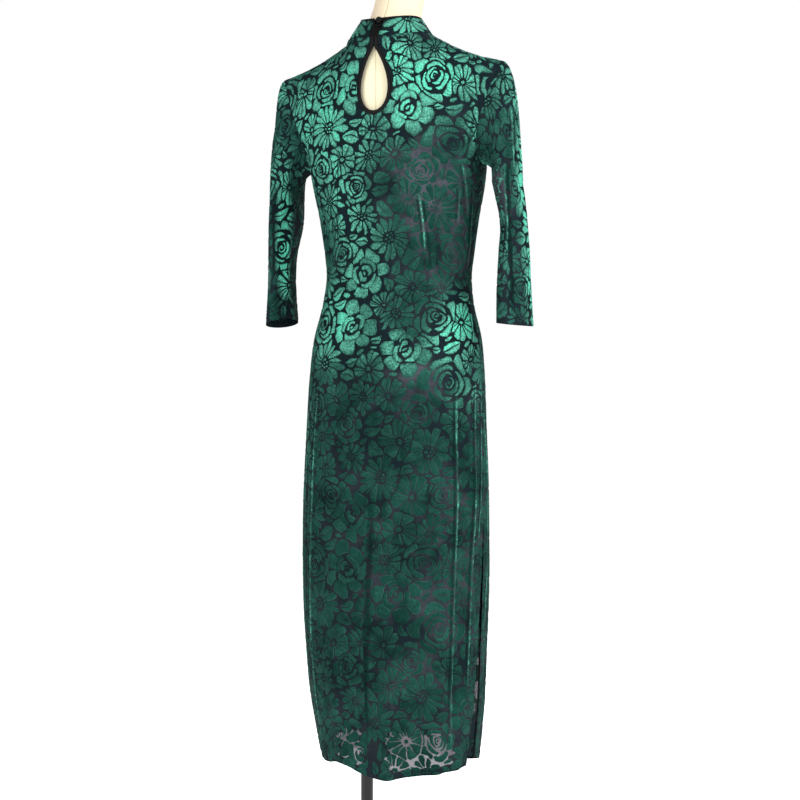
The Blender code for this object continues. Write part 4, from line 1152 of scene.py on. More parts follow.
def pile_mesh(name, blocks, anchor, place, mirror=1, split_above=None):
    """One object that holds every pad of pile on a cloth."""
    points, faces, painted_sheens, edges, flats = [], [], [], [], []
    total = 0
    for verts, normals, flat in laid_pads(blocks, anchor, mirror, split_above):
        count, n = verts.shape[:2]
        mid = n // 2
        along, over = verts[:, mid + 1, 2] - verts[:, mid, 2], verts[:, mid, 3] - verts[:, mid, 1]
        face = np.cross(along, over)
        flip = (face * normals[:, mid, 2]).sum(axis=-1) < 0
        index = total + np.arange(count * n * 5).reshape(count, n, 5)
        corners = (index[:, :-1, :-1], index[:, 1:, :-1], index[:, 1:, 1:], index[:, :-1, 1:])
        quads = np.stack(corners, axis=-1)
        quads[flip] = quads[flip][..., ::-1]
        total += count * n * 5
        # Each pad's painted sheen is a little stronger or weaker, at random.
        own = np.sin(np.arange(count) * 12.9898 + len(points) * 4.1) * 43758.5453
        own = (own - np.floor(own) - 0.5)[:, None, None]
        sheen_patches = patched(PAINTED_SHEEN, place, PAINTED_SHEEN_BASE, verts)
        points.append(verts.reshape(-1, 3))
        faces.append(quads.reshape(-1, 4))
        painted_sheens.append((sheen_patches * (1 + own * 0.5) + own * 0.03).ravel())
        edges.append(np.broadcast_to(np.array([1.0, 0.9, 0.0, 0.9, 1.0]), verts.shape[:3]).ravel())
        flats.append(flat.reshape(-1, 2))
    layers = {"nap": np.clip(np.concatenate(painted_sheens), 0, 1), "edge": np.concatenate(edges)}
    points, faces, flats = (np.concatenate(parts) for parts in (points, faces, flats))
    return add_mesh(name, points, faces, pile_finish(place), layers, flats)


# ---- meshes
def add_mesh(name, points, faces, material, layers=None, flat=None):
    """An object from quads, in the row's frame, with point values and flat places as a UV map."""
    mesh = bpy.data.meshes.new(name)
    faces = np.asarray(faces)
    mesh.vertices.add(len(points))
    mesh.vertices.foreach_set("co", (np.asarray(points) + BODY_PLACE).astype(np.float32).ravel())
    mesh.loops.add(faces.size)
    mesh.loops.foreach_set("vertex_index", faces.astype(np.int32).ravel())
    mesh.polygons.add(len(faces))
    mesh.polygons.foreach_set("loop_start", np.arange(len(faces), dtype=np.int32) * faces.shape[1])
    mesh.update(calc_edges=True)
    for layer, values in (layers or {}).items():
        attribute = mesh.attributes.new(layer, "FLOAT", "POINT")
        attribute.data.foreach_set("value", np.asarray(values, np.float32).ravel())
    if flat is not None:
        cloth = mesh.uv_layers.new(name="cloth")
        cloth.data.foreach_set("uv", np.asarray(flat, np.float32)[faces.ravel()].ravel())
    mesh.shade_smooth()
    mesh.materials.append(material)
    return linked(name, mesh)


def linked(name, data):
    """An object that holds the given data, in the scene."""
    piece = bpy.data.objects.new(name, data)
    bpy.context.scene.collection.objects.link(piece)
    return piece


def grid_quads(index, closed=False, flip=False):
    """Quads over a grid of point numbers."""
    if closed:
        index = np.concatenate([index, index[:, :1]], axis=1)
    corners = (index[:-1, :-1], index[:-1, 1:], index[1:, 1:], index[1:, :-1])
    quads = np.stack(corners, axis=-1).reshape(-1, 4)
    return quads[:, ::-1] if flip else quads


def seated(piece, slot, *nodes):
    """Lets a piece ride on the part, in place of the nodes it stands for. The slot is not used."""
    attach(piece, "root")
    if nodes:
        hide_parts(*nodes)
    return piece


def make_plain(piece):
    """Turns an object's evaluated modifiers into its plain mesh."""
    view = bpy.context.evaluated_depsgraph_get()
    mesh = bpy.data.meshes.new_from_object(piece.evaluated_get(view), depsgraph=view)
    piece.modifiers.clear()
    old = piece.data
    piece.data = mesh
    mesh.name = piece.name
    bpy.data.meshes.remove(old)


def merged_blocks(blocks):
    """The points, flat places and quads of a panel's two halves, joined along the centre line."""
    points = np.concatenate([block.points.reshape(-1, 3) for block in blocks])
    flat = np.concatenate([block.flat.reshape(-1, 2) for block in blocks])
    rows, columns = blocks[0].points.shape[:2]
    index = np.arange(len(points)).reshape(2, rows, columns)
    near = np.linalg.norm(blocks[0].points[:, 0] - blocks[1].points[:, 0], axis=-1) < SEAM_GAP
    index[1, near, 0] = index[0, near, 0]
    quads = [grid_quads(index[i], flip=block.turned) for i, block in enumerate(blocks)]
    return points, flat, np.concatenate(quads)


def sweep(path, normals, profile, closed=False):
    """Points of a profile of (sideways, outwards) pairs, carried along a path."""
    along = np.roll(path, -1, axis=0) - np.roll(path, 1, axis=0)
    if not closed:
        along[0], along[-1] = path[1] - path[0], path[-1] - path[-2]
    aside = unit(np.cross(along, normals))
    out = unit(np.cross(aside, along))
    profile = np.asarray(profile)
    return path[:, None] + aside[:, None] * profile[:, :1] + out[:, None] * profile[:, 1:]


def ring_profile(radius, sides, flatten=1.0):
    turn = round_turn(sides)
    return np.stack([radius * np.cos(turn), radius * flatten * np.sin(turn)], axis=-1)


def add_tube(name, grid, material, closed=False):
    """A swept tube; an open one gets a closed end at both ends."""
    rows, sides = grid.shape[:2]
    points = grid.reshape(-1, 3)
    index = np.arange(len(points)).reshape(rows, sides)
    if closed:
        index = np.concatenate([index, index[:1]])
    quads = grid_quads(index, closed=True)
    if not closed:
        ends = grid[[0, -1]].mean(axis=1)
        a, b = len(points), len(points) + 1
        points = np.concatenate([points, ends])
        final = (rows - 1) * sides
        tris = [(a, i, (i + 1) % sides) for i in range(sides)]
        tris += [(b, final + (i + 1) % sides, final + i) for i in range(sides)]
    built = bmesh.new()
    verts = [built.verts.new(point + BODY_PLACE) for point in points]
    for quad in quads:
        built.faces.new([verts[i] for i in quad])
    if not closed:
        for tri in tris:
            built.faces.new([verts[i] for i in tri])
    return from_bmesh(name, built, material)


def from_bmesh(name, built, material, sharp=40):
    bmesh.ops.recalc_face_normals(built, faces=built.faces)
    mesh = bpy.data.meshes.new(name)
    built.to_mesh(mesh)
    built.free()
    mesh.shade_smooth()
    mesh.set_sharp_from_angle(angle=math.radians(sharp))
    mesh.materials.append(material)
    return linked(name, mesh)


# ---- shader maths
class Value:
    """A shader socket that ordinary arithmetic works on."""

    def __init__(self, finish, socket):
        self.finish, self.socket = finish, socket

    def __add__(self, other):
        return self.finish.maths("ADD", self, other)

    def __sub__(self, other):
        return self.finish.maths("SUBTRACT", self, other)

    def __rsub__(self, other):
        return self.finish.maths("SUBTRACT", other, self)

    def __mul__(self, other):
        return self.finish.maths("MULTIPLY", self, other)

    __rmul__ = __mul__


class Finish:
    """A material on one Principled shader. Constants go on the shader's own sockets."""

    def __init__(self, name, **constants):
        self.material = bpy.data.materials.new(name)
        self.material.use_nodes = True
        self.tree = self.material.node_tree
        self.shader = self.tree.nodes["Principled BSDF"]
        for key, value in constants.items():
            self.shader.inputs[key.replace("_", " ")].default_value = value

    def node(self, kind, settings=None, inputs=None, output=0):
        """A node of any kind: its settings, then its inputs by name or number, then one output."""
        made = self.tree.nodes.new(kind)
        for key, value in (settings or {}).items():
            setattr(made, key, value)
        for key, value in (inputs or {}).items():
            if isinstance(value, Value):
                self.tree.links.new(value.socket, made.inputs[key])
            else:
                made.inputs[key].default_value = value
        return Value(self, made.outputs[output])

    def maths(self, operation, *values):
        return self.node("ShaderNodeMath", {"operation": operation}, dict(enumerate(values)))

    def clamp(self, value):
        return self.node("ShaderNodeClamp", None, {0: value})

    def band(self, value, low, high):
        """0 below low, 1 above high and smooth between them."""
        settings = {"interpolation_type": "SMOOTHSTEP"}
        inputs = {"Value": value, "From Min": low, "From Max": high}
        return self.node("ShaderNodeMapRange", settings, inputs)

    def mix(self, share, first, second):
        """A colour between two colours."""
        colours = [c if isinstance(c, Value) else (*c, 1.0) for c in (first, second)]
        inputs = {"Factor": share, 6: colours[0], 7: colours[1]}
        return self.node("ShaderNodeMix", {"data_type": "RGBA"}, inputs, 2)

    def noise(self, scale, detail, roughness=0.5):
        inputs = {"Vector": self.place(), "Scale": scale, "Detail": detail, "Roughness": roughness}
        return self.node("ShaderNodeTexNoise", None, inputs)

    def place(self):
        return self.node("ShaderNodeTexCoord", None, None, "Object")

    def flat(self):
        """Places on the flat cloth, in metres."""
        return self.node("ShaderNodeUVMap", {"uv_map": "cloth"})

    def layer(self, name):
        return self.node("ShaderNodeAttribute", {"attribute_name": name}, None, "Fac")

    def parts(self, vector):
        made = self.tree.nodes.new("ShaderNodeSeparateXYZ")
        self.tree.links.new(vector.socket, made.inputs[0])
        return [Value(self, socket) for socket in made.outputs]

    def bump(self, height, distance, strength):
        inputs = {"Height": height, "Distance": distance, "Strength": strength}
        self.set("Normal", self.node("ShaderNodeBump", None, inputs))

    def set(self, socket, value):
        self.tree.links.new(value.socket, self.shader.inputs[socket])

    def threads(self, across, along, pitch):
        """Height of a plain weave, 0 to 1, from two coordinates in metres."""
        turn = 2 * math.pi / pitch
        warp = self.maths("SINE", across * turn)
        weft = self.maths("SINE", along * turn)
        return warp * weft * 0.5 + 0.5


def colour(name, *shares):
    """One of the settings' colours, times one share or a share for each channel."""
    shares = shares * 3 if len(shares) == 1 else shares or (1.0, 1.0, 1.0)
    return tuple(c * share for c, share in zip(getattr(bpy.context.scene.cheongsam, name), shares))


def crease_light(f, place):
    """Painted highlights where the crests of a place's creases catch the light, and painted shade
    where their feet lie in shade.
    """
    crest_highlight = shade = 0.0
    if not CREASES.get(place):
        return crest_highlight, shade
    u, _, _ = f.parts(f.flat())
    _, _, z = f.parts(f.place())
    for x0, z0, x1, z1, half, proud, bow in shader_lines(place):
        length = math.hypot(x1 - x0, z1 - z0)
        wx, wz = (x1 - x0) / length, (z1 - z0) / length
        along = (u - x0) * (wx / length) + (z - z0) * (wz / length)
        inside = f.clamp(along)
        off = (u - x0) * wz - (z - z0) * wx - inside * (1 - inside) * (4 * bow)
        ends = f.band(along, 0.0, 0.18) * (1 - f.band(along, 0.82, 1.0))
        # Raised creases get a painted highlight on the crest and painted shade at the foot; sunk
        # ones get painted shade along the middle.
        if proud > 0.0015:
            near = f.maths("ABSOLUTE", off - half * 0.2)
            crest_highlight = (1 - f.band(near, 0.0, half * 0.7)) * ends * min(proud / 0.0022, 1.0) + crest_highlight
            beside, depth = f.maths("ABSOLUTE", off + half * 0.85), 0.6
        else:
            beside, depth = f.maths("ABSOLUTE", off), min(0.45 - proud / 0.005, 1.0)
        shade = (1 - f.band(beside, half * 0.1, half * 0.75)) * ends * depth + shade
    broken = f.band(f.noise(60.0, 4.0, roughness=0.65), 0.30, 0.56) * 0.8 + 0.2
    long = f.band(f.noise(11.0, 2.0), 0.40, 0.60) * 0.65 + 0.35
    return f.clamp(crest_highlight * broken * long), f.clamp(shade)


def shader_lines(place):
    """The deeper creases of a place on its flat cloth."""
    lines = [line for line in crease_lines(place) if abs(line[5]) > 0.0013]
    if place not in ("left", "right"):
        return lines
    block = sleeve_block(place)
    heights = block.points[:, 0, 2]
    moved = []
    for x0, z0, x1, z1, *rest in lines:
        ends = []
        for x, z in ((x0, z0), (x1, z1)):
            row = np.argmin(np.abs(heights - z))
            column = round(x / SLEEVE_GIRTH * (block.flat.shape[1] - 1))
            ends += [float(block.flat[row, column, 0]), z]
        moved.append((*ends, *rest))
    return moved


def clouds(f):
    """Broad uneven patches in how the cloth catches light, 0 to 1."""
    return f.band(f.noise(17.0, 3.0, roughness=0.6), 0.36, 0.64)


@functools.cache
def pile_finish(place):
    """Dense cut pile with painted light: bright mint with painted darker edges where its painted
    sheen is strong, deep green with painted paler rims where it is weak, and painted crease
    highlights and shade."""
    f = Finish("velvet_pile_" + place, Specular_IOR_Level=0.03)
    crest_highlight, shade = crease_light(f, place)
    nap, edge = f.layer("nap"), f.layer("edge")
    patches = f.band(f.noise(90.0, 3.0), 0.30, 0.70)
    speckle = f.band(f.noise(400.0, 3.0, roughness=0.7), 0.34, 0.66)
    lit = f.band(nap, 0.06, 0.26)
    # How much painted sheen the pile gets: its painted sheen patches with noise, and painted crease
    # highlights.
    share = nap * (patches * 0.40 + speckle * 0.85 + 0.45) + crest_highlight * (speckle * 0.45 + 0.30)
    # Painted darker edges on each pad, and painted shade beside the creases.
    share = f.clamp(share * (1 - edge * edge * 0.50) - shade * 0.12)
    # The facing's pile is painted darker, as painted shade under the back.
    dim = FACING_SHADE if place == "facing" else 1.0
    # Broad painted light over the pile, from cloudy patches and the ground's painted pale patches.
    painted_light_patches = f.clamp(clouds(f) * 0.45 + f.layer("pale") * 0.9 + patches * 0.15)
    tone = f.mix(painted_light_patches, colour("pile_dark", dim * 0.50), colour("pile_dark", dim * 1.65))
    # Painted half sheen, then painted highlight, as the painted sheen grows.
    tone = f.mix(f.clamp(share * 2.2), tone, colour("pile_sheen"))
    tone = f.mix(f.clamp(share * 1.8 - 0.8), tone, colour("pile_bright"))
    rim = f.band(edge, 0.60, 1.0)
    # Dark speckles of the pile, with painted shade beside the creases and on the edges of brightly
    # painted pads.
    speckle_and_painted_shade = f.clamp((1 - speckle) * 0.50 + shade * 0.8 + rim * lit * 0.5)
    tone = f.mix(speckle_and_painted_shade, tone, colour("pile_dark", dim * 0.35))
    # Painted pale rims on pads where the painted sheen is weak, as if light caught their edges.
    painted_rim_highlight = rim * (1 - lit) * (1 - shade) * (patches * 0.35 + painted_light_patches * 0.8 - 0.05)
    if place != "facing":
        tone = f.mix(f.clamp(painted_rim_highlight), tone, colour("pile_rim"))
    f.set("Base Color", tone)
    f.set("Roughness", 0.70 - share * 0.20)
    f.set("Metallic", share * 0.12)
    f.bump(f.noise(1500.0, 3.0), 0.0004, 0.6)
    return f.material


@functools.cache
def ground_finish(place):
    """Sheer ground that the pile was burnt out of, in a fine plain weave, with painted light and
    shade.
    """
    f = Finish("velvet_ground_" + place, Roughness=0.7, Specular_IOR_Level=0.03)
    crest_highlight, shade = crease_light(f, place)
    u, v, _ = f.parts(f.flat())
    weave = f.threads(u, v, GROUND_THREAD)
    slubs = f.band(f.noise(160.0, 3.0), 0.3, 0.7)
    # Painted light on the ground from its pale and cloudy patches, dimmed under brightly painted
    # pile.
    under_painted_sheen = f.band(f.layer("nap"), 0.06, 0.24)
    light = f.layer("pale") * (weave * 0.3 + slubs * 0.4 + 0.65) * (clouds(f) * 1.15 + 0.10)
    light = light * (1 - under_painted_sheen * 0.85)
    tone = f.mix(f.clamp(light), colour("ground_dark"), colour("ground_pale"))
    # Painted highlights along crease crests, and painted shade beside them.
    tone = f.mix(f.clamp(crest_highlight * 0.35), tone, colour("pile_sheen"))
    tone = f.mix(f.clamp(shade * 0.6), tone, colour("ground_dark", 0.4))
    # Where nothing dark backs the cloth, the ground is painted pale grey for light coming through
    # it.
    backed = f.band(f.layer("backed") + (f.noise(130.0, 2.0) - 0.5) * 0.7, 0.36, 0.62)
    f.set("Base Color", f.mix((1 - backed) * (slubs * 0.3 + 0.7), tone, colour("ground_lit")))
    f.set("Alpha", f.clamp(backed + (1 - backed) * (weave * 0.10 + 0.86)))
    f.bump(weave, 0.00012, 0.6)
    return f.material


@functools.cache
def binding_finish():
    """Black satin: fine ribs of floating threads on the bias."""
    f = Finish("satin_binding", Specular_IOR_Level=0.1)
    x, _, z = f.parts(f.place())
    ribs = f.maths("SINE", (x + z) * (2 * math.pi / BINDING_RIB)) * 0.5 + 0.5
    wear = f.noise(240.0, 3.0)
    share = f.clamp(wear * 0.6 + ribs * 0.2)
    f.set("Base Color", f.mix(share, colour("binding"), colour("binding", 2.4)))
    f.set("Roughness", wear * 0.25 + 0.30)
    f.bump(ribs, 0.00008, 0.5)
    return f.material


@functools.cache
def lining_finish():
    f = Finish("lining_cloth", Roughness=0.6)
    x, y, z = f.parts(f.place())
    weave = f.threads(x + y, z, LINING_THREAD)
    tone = f.noise(30.0, 3.0)
    share = f.clamp(tone * 0.7 + weave * 0.3)
    f.set("Base Color", f.mix(share, colour("lining"), colour("lining", 1.9)))
    f.bump(weave, 0.0001, 0.5)
    return f.material


@functools.cache
def jersey_finish():
    """Cream jersey in fine knitted ribs, a little darker in the seams."""
    f = Finish("form_jersey", Roughness=0.85, Sheen_Weight=0.08, Specular_IOR_Level=0.2)
    x, y, z = f.parts(f.place())
    ribs = f.maths("SINE", (x + y * 0.6) * (2 * math.pi / JERSEY_RIB)) * 0.5 + 0.5
    stitches = f.maths("SINE", z * (2 * math.pi / JERSEY_STITCH)) * 0.5 + 0.5
    tone = f.noise(14.0, 3.0)
    seam = f.layer("seam")
    base = f.mix(f.clamp(tone * 0.8), colour("form_cover", 0.94), colour("form_cover"))
    base = f.mix(f.band(z, 1.40, 1.43), base, colour("form_cover", 0.92, 0.84, 0.86))
    f.set("Base Color", f.mix(f.clamp(seam * 0.75), base, colour("form_cover", 0.62, 0.58, 0.50)))
    f.bump(ribs * 0.6 + stitches * 0.4, 0.0001, 0.4)
    return f.material


@functools.cache
def enamel_finish():
    """Satin black enamel with a faint orange peel and a few dull rubs."""
    f = Finish("satin_enamel", Specular_IOR_Level=0.3)
    rubs = f.noise(22.0, 5.0)
    f.set("Base Color", f.mix(f.band(rubs, 0.45, 0.8), colour("enamel"), colour("enamel", 1.6)))
    f.set("Roughness", f.band(rubs, 0.3, 0.8) * 0.22 + 0.34)
    f.bump(f.noise(420.0, 2.0), 0.0001, 0.25)
    return f.material


@functools.cache
def floor_finish():
    glow = {"Emission_Color": (1.0, 1.0, 1.0, 1.0), "Emission_Strength": 0.7}
    f = Finish("studio_floor", Roughness=0.9, **glow)
    f.set("Base Color", f.mix(f.noise(3.0, 2.0), colour("floor", 0.98), colour("floor")))
    return f.material


# ---- geometry nodes
class Nodes:
    """A Geometry Nodes tree under construction."""

    def __init__(self, name, sizes, material):
        self.name = name
        self.tree = bpy.data.node_groups.new(name + "_nodes", "GeometryNodeTree")
        self.socket("Geometry")
        self.values = {self.socket(key, "Float"): size for key, size in sizes.items()}
        self.values[self.socket("Material")] = material
        self.socket("Geometry", way="OUTPUT")
        self.inputs = self.tree.nodes.new("NodeGroupInput").outputs

    def socket(self, name, kind=None, way="INPUT"):
        kind = "NodeSocket" + (kind or name)
        return self.tree.interface.new_socket(name, in_out=way, socket_type=kind).identifier

    def node(self, kind, settings=None, **inputs):
        made = self.tree.nodes.new(kind)
        for key, value in (settings or {}).items():
            setattr(made, key, value)
        for key, value in inputs.items():
            socket = made.inputs[key.replace("_", " ")]
            if isinstance(value, bpy.types.NodeSocket):
                self.tree.links.new(value, socket)
            else:
                socket.default_value = value
        return made.outputs[0]

    def end(self, geometry):
        real = self.node("GeometryNodeRealizeInstances", Geometry=geometry)
        done = self.node("GeometryNodeSetMaterial", Geometry=real, Material=self.inputs["Material"])
        out = self.tree.nodes.new("NodeGroupOutput")
        self.tree.links.new(done, out.inputs[0])

    def applied(self, verts, edges):
        """Runs the tree on plain points and edges and keeps the result as a piece's plain mesh."""
        mesh = bpy.data.meshes.new(self.name)
        mesh.from_pydata([tuple(p) for p in verts], edges, [])
        piece = linked(self.name, mesh)
        modifier = piece.modifiers.new(self.tree.name, "NODES")
        modifier.node_group = self.tree
        for identifier, value in self.values.items():
            modifier[identifier] = value
        make_plain(piece)
        piece.data.shade_smooth()
        return piece


def stitches(name, path, normals, sizes, material):
    """A row of stitches along a path, each one a small rounded thread."""
    tree = Nodes(name, dict(zip(("Spacing", "Length", "Thickness"), sizes)), material)
    given = tree.inputs
    thick = given["Thickness"]
    curve = tree.node("GeometryNodeMeshToCurve", Mesh=given["Geometry"])
    by_length = {"mode": "LENGTH"}
    even = tree.node("GeometryNodeResampleCurve", by_length, Curve=curve, Length=given["Spacing"])
    tangent = tree.node("GeometryNodeInputTangent")
    turn = tree.node("FunctionNodeAlignRotationToVector", {"axis": "X"}, Vector=tangent)
    ball = tree.node("GeometryNodeMeshUVSphere", Segments=6, Rings=4, Radius=0.5)
    size = tree.node("ShaderNodeCombineXYZ", X=given["Length"], Y=thick, Z=thick)
    thread = tree.node("GeometryNodeTransform", Geometry=ball, Scale=size)
    tree.end(tree.node("GeometryNodeInstanceOnPoints", Points=even, Instance=thread, Rotation=turn))
    verts = path + normals * sizes[-1] * 0.2 + BODY_PLACE
    return tree.applied(verts, [(i, i + 1) for i in range(len(verts) - 1)])


def screws(name, places, radius, tall, material):
    """Domed screw heads, standing at the given places."""
    tree = Nodes(name, {"Radius": radius, "Height": tall}, material)
    given = tree.inputs
    wide = given["Radius"]
    dome = tree.node("GeometryNodeMeshUVSphere", Segments=20, Rings=12, Radius=1.0)
    size = tree.node("ShaderNodeCombineXYZ", X=wide, Y=wide, Z=given["Height"])
    head = tree.node("GeometryNodeTransform", Geometry=dome, Scale=size)
    points = tree.node("GeometryNodeMeshToPoints", Mesh=given["Geometry"])
    tree.end(tree.node("GeometryNodeInstanceOnPoints", Points=points, Instance=head))
    return tree.applied(places, [])


# ---- pieces
def ground_cloth(name, place, points, quads, flat, backed):
    """The sheer ground of a velvet piece, with what its finish varies by."""
    # The ground carries the pile's painted sheen and its own painted light as point values.
    nap, pale = patched(PAINTED_SHEEN, place, PAINTED_SHEEN_BASE, points), patched(PALE, place, PALE_BASE, points)
    layers = {"nap": nap, "pale": pale, "backed": backed}
    return add_mesh(name, points, quads, ground_finish(place), layers, flat)


def panel_piece(panel, node):
    blocks = panel_blocks(panel)
    points, flat, quads = merged_blocks(blocks)
    backed = np.concatenate([backing(panel, block).ravel() for block in blocks])
    cloth = ground_cloth(node + "_cloth", panel, points, quads, flat, backed)
    seated(cloth, "velvet", node)
    anchor = np.array([0.0, keyhole_flat()])
    above = keyhole_flat() - BINDING_WIDTH - 0.002 if panel == "back" else None
    pile = seated(pile_mesh(node + "_pile", blocks, anchor, panel, -1, above), "velvet")
    wide = max(block.flat[..., 0].max() for block in blocks) * 2
    tall = max(np.ptp(block.flat[..., 1]) for block in blocks)
    area = sum(block.area() for block in blocks)


def backing(panel, block):
    """1 where something dark backs a panel's cloth and 0 where light comes through it."""
    x, z = block.points[..., 0], block.points[..., 2]
    above_hem = block.flat[..., 1] - block.flat[:1, :, 1]
    across = x + 0.005 * np.sin(z * 420) + 0.004 * np.sin(z * 190 + 1)
    height = z + 0.005 * np.sin(x * 260) + 0.004 * np.sin(x * 610 + 2)
    light = np.zeros(z.shape)
    for start, end in HEM_LIGHT[panel]:
        starts, ends = (across - start) / LIGHT_FADE, (end - across) / LIGHT_FADE
        light += smooth_step(starts) * smooth_step(ends)
    light *= smooth_step((above_hem - HEM_TURN) / 0.002)
    light *= 1 - smooth_step((height - LINING_HEM + LIGHT_FADE / 2) / LIGHT_FADE)
    return 1 - light


def slit_facing():
    """The front's sheer edge, which lies under the back's and shows in the wearer's right slit."""
    rows, columns = np.linspace(*FACING_HEIGHTS, 150), np.linspace(0.001, FACING_WIDTH, 24)
    heights, inward = together(rows[:, None], columns[None])
    flat = np.stack([inward, heights], axis=-1)
    points = across_section(heights, "back", -1.0, (inward, 0.0))
    block = Block(points, flat, True).lifted(np.full(heights.shape, -FACING_INSET))
    low, high = FACING_LIT
    lit = smooth_step((heights - low) / 0.02) * smooth_step((high - heights) / 0.02)
    # Specks of painted light coming through the sheer strip between the lit heights.
    light_specks = np.sin(heights * 930 + 2 * np.sin(heights * 210)) * np.sin(inward * 700 + heights * 520)
    backed = 1 - lit * (light_specks > -0.3)
    quads = grid_quads(np.arange(backed.size).reshape(backed.shape), flip=block.turned)
    points = block.points.reshape(-1, 3)
    cloth = ground_cloth("slit_facing_cloth", "facing", points, quads, flat.reshape(-1, 2), backed)
    pile = pile_mesh("slit_facing_pile", [block], flat[0, 0], "facing")
    wide, tall = block.size()
    seated(cloth, "velvet")
    min(float(block.area()), wide * tall)
    seated(pile, "velvet")


class CHEONGSAM_OT_form(Operator):
    """Make the limbless form that the dress hangs on"""

    bl_idname = "cheongsam.form"
    bl_label = "Dress form"

    def execute(self, context):
        half = np.concatenate([FORM_SEAM_COLUMNS, np.linspace(0.03, 1, 40)])
        places = np.concatenate([-half[:0:-1], half])
        heights = np.linspace(FORM_BOTTOM, ARMPIT_HEIGHT, 44)
        climbs = np.linspace(0, 1, 40)[1:]
        built = bmesh.new()
        for panel in ("back", "front"):
            lower = across_section(heights[:, None], panel, places[None])
            grid = np.concatenate([lower, upper_surface(panel, places[None], climbs[:, None])])
            verts = [[built.verts.new(point) for point in row] for row in grid]
            for low, high in zip(verts, verts[1:]):
                for c in range(len(places) - 1):
                    corners = (low[c], low[c + 1], high[c + 1], high[c])
                    built.faces.new(corners if panel == "front" else corners[::-1])
        bmesh.ops.remove_doubles(built, verts=built.verts, dist=SEAM_GAP / 3)
        built.normal_update()
        seam = built.verts.layers.float.new("seam")
        moves = {}
        for vert in built.verts:
            high = smooth_step((vert.co.z - ARMPIT_HEIGHT) / (SHOULDER_TIP[2] - ARMPIT_HEIGHT))
            aside = smooth_step((abs(vert.co.x) - NECK_HALF_WIDTH) / REST_FADE)
            moves[vert] = vert.normal * (FORM_INSET + (SHOULDER_REST - FORM_INSET) * high * aside)
        for vert, move in moves.items():
            if vert.is_boundary:
                if vert.co.z > ARMPIT_HEIGHT - SEAM_GAP and abs(vert.co.x) > ARMHOLE_START:
                    move.x += math.copysign(ARMHOLE_INSET, vert.co.x)
                elif vert.co.z < FORM_BOTTOM + SEAM_GAP:
                    move.z = 0.0
            vert.co -= move
        self.add_neck(built)
        for vert in built.verts:
            vert[seam] = max(0.0, 1 - abs(vert.co.x) / FORM_SEAM_HALF)
            if vert[seam] > 0:
                vert.co -= vert.normal * FORM_SEAM_DEPTH * vert[seam]
        open_edges = [edge for edge in built.edges if edge.is_boundary]
        bmesh.ops.holes_fill(built, edges=open_edges, sides=0)
        bmesh.ops.triangulate(built, faces=[face for face in built.faces if len(face.verts) > 4])
        for vert in built.verts:
            vert.co += Vector(BODY_PLACE)
        form = from_bmesh("form_jersey", built, jersey_finish(), sharp=50)
        seated(form, "form_cover", "form_body")
        self.add_cap()
        return {"FINISHED"}

    def add_neck(self, built):
        """Lofts the neck up from the open ring at the neckline."""
        low = NECK_HEIGHT["front"] - 2 * FORM_INSET
        ring = [v for v in built.verts if v.is_boundary and v.co.z > low]
        ring = [v for v in ring if abs(v.co.x) < NECK_HALF_WIDTH + FORM_INSET]
        ring.sort(key=lambda v: math.atan2(v.co.y - NECK_CENTRE_Y, v.co.x))
        angles = np.array([math.atan2(v.co.y - NECK_CENTRE_Y, v.co.x) for v in ring])
        knots = [np.array([v.co[:] for v in ring])]
        for height, half_width, half_depth, centre_y in NECK_SECTIONS:
            x, y = oval(angles, half_width, half_depth, centre_y)
            knots.append(np.stack([x, y, np.full(len(x), height)], axis=-1))
        reach = np.arange(len(knots), dtype=float)
        flat = np.array(knots).reshape(len(knots), -1)
        table = np.concatenate([reach[:, None], flat], axis=1)
        below = ring
        for level in np.linspace(0, len(knots) - 1, 30)[1:]:
            row = table_at([tuple(r) for r in table], np.array(level)).reshape(-1, 3)
            above = [built.verts.new(point) for point in row]
            for i in range(len(ring)):
                j = (i + 1) % len(ring)
                built.faces.new((below[i], below[j], above[j], above[i]))
            below = above
        built.normal_update()

    def add_cap(self):
        """The flat lid that closes the neck, covered like the rest and rounded at its rim."""
        height, half_width, half_depth, centre_y = NECK_SECTIONS[-1]
        low = height + SEAM_GAP
        turn = round_turn(64)
        grid = []
        for share, up in CAP_OUTLINE:
            x, y = half_width * share * np.cos(turn), centre_y + half_depth * share * np.sin(turn)
            grid.append(np.stack([x, y, np.full(len(x), low + NECK_CAP_HEIGHT * up)], axis=-1))
        cap = add_tube("neck_lid", np.array(grid), jersey_finish())
        seated(cap, "form_cover", "neck_cap")


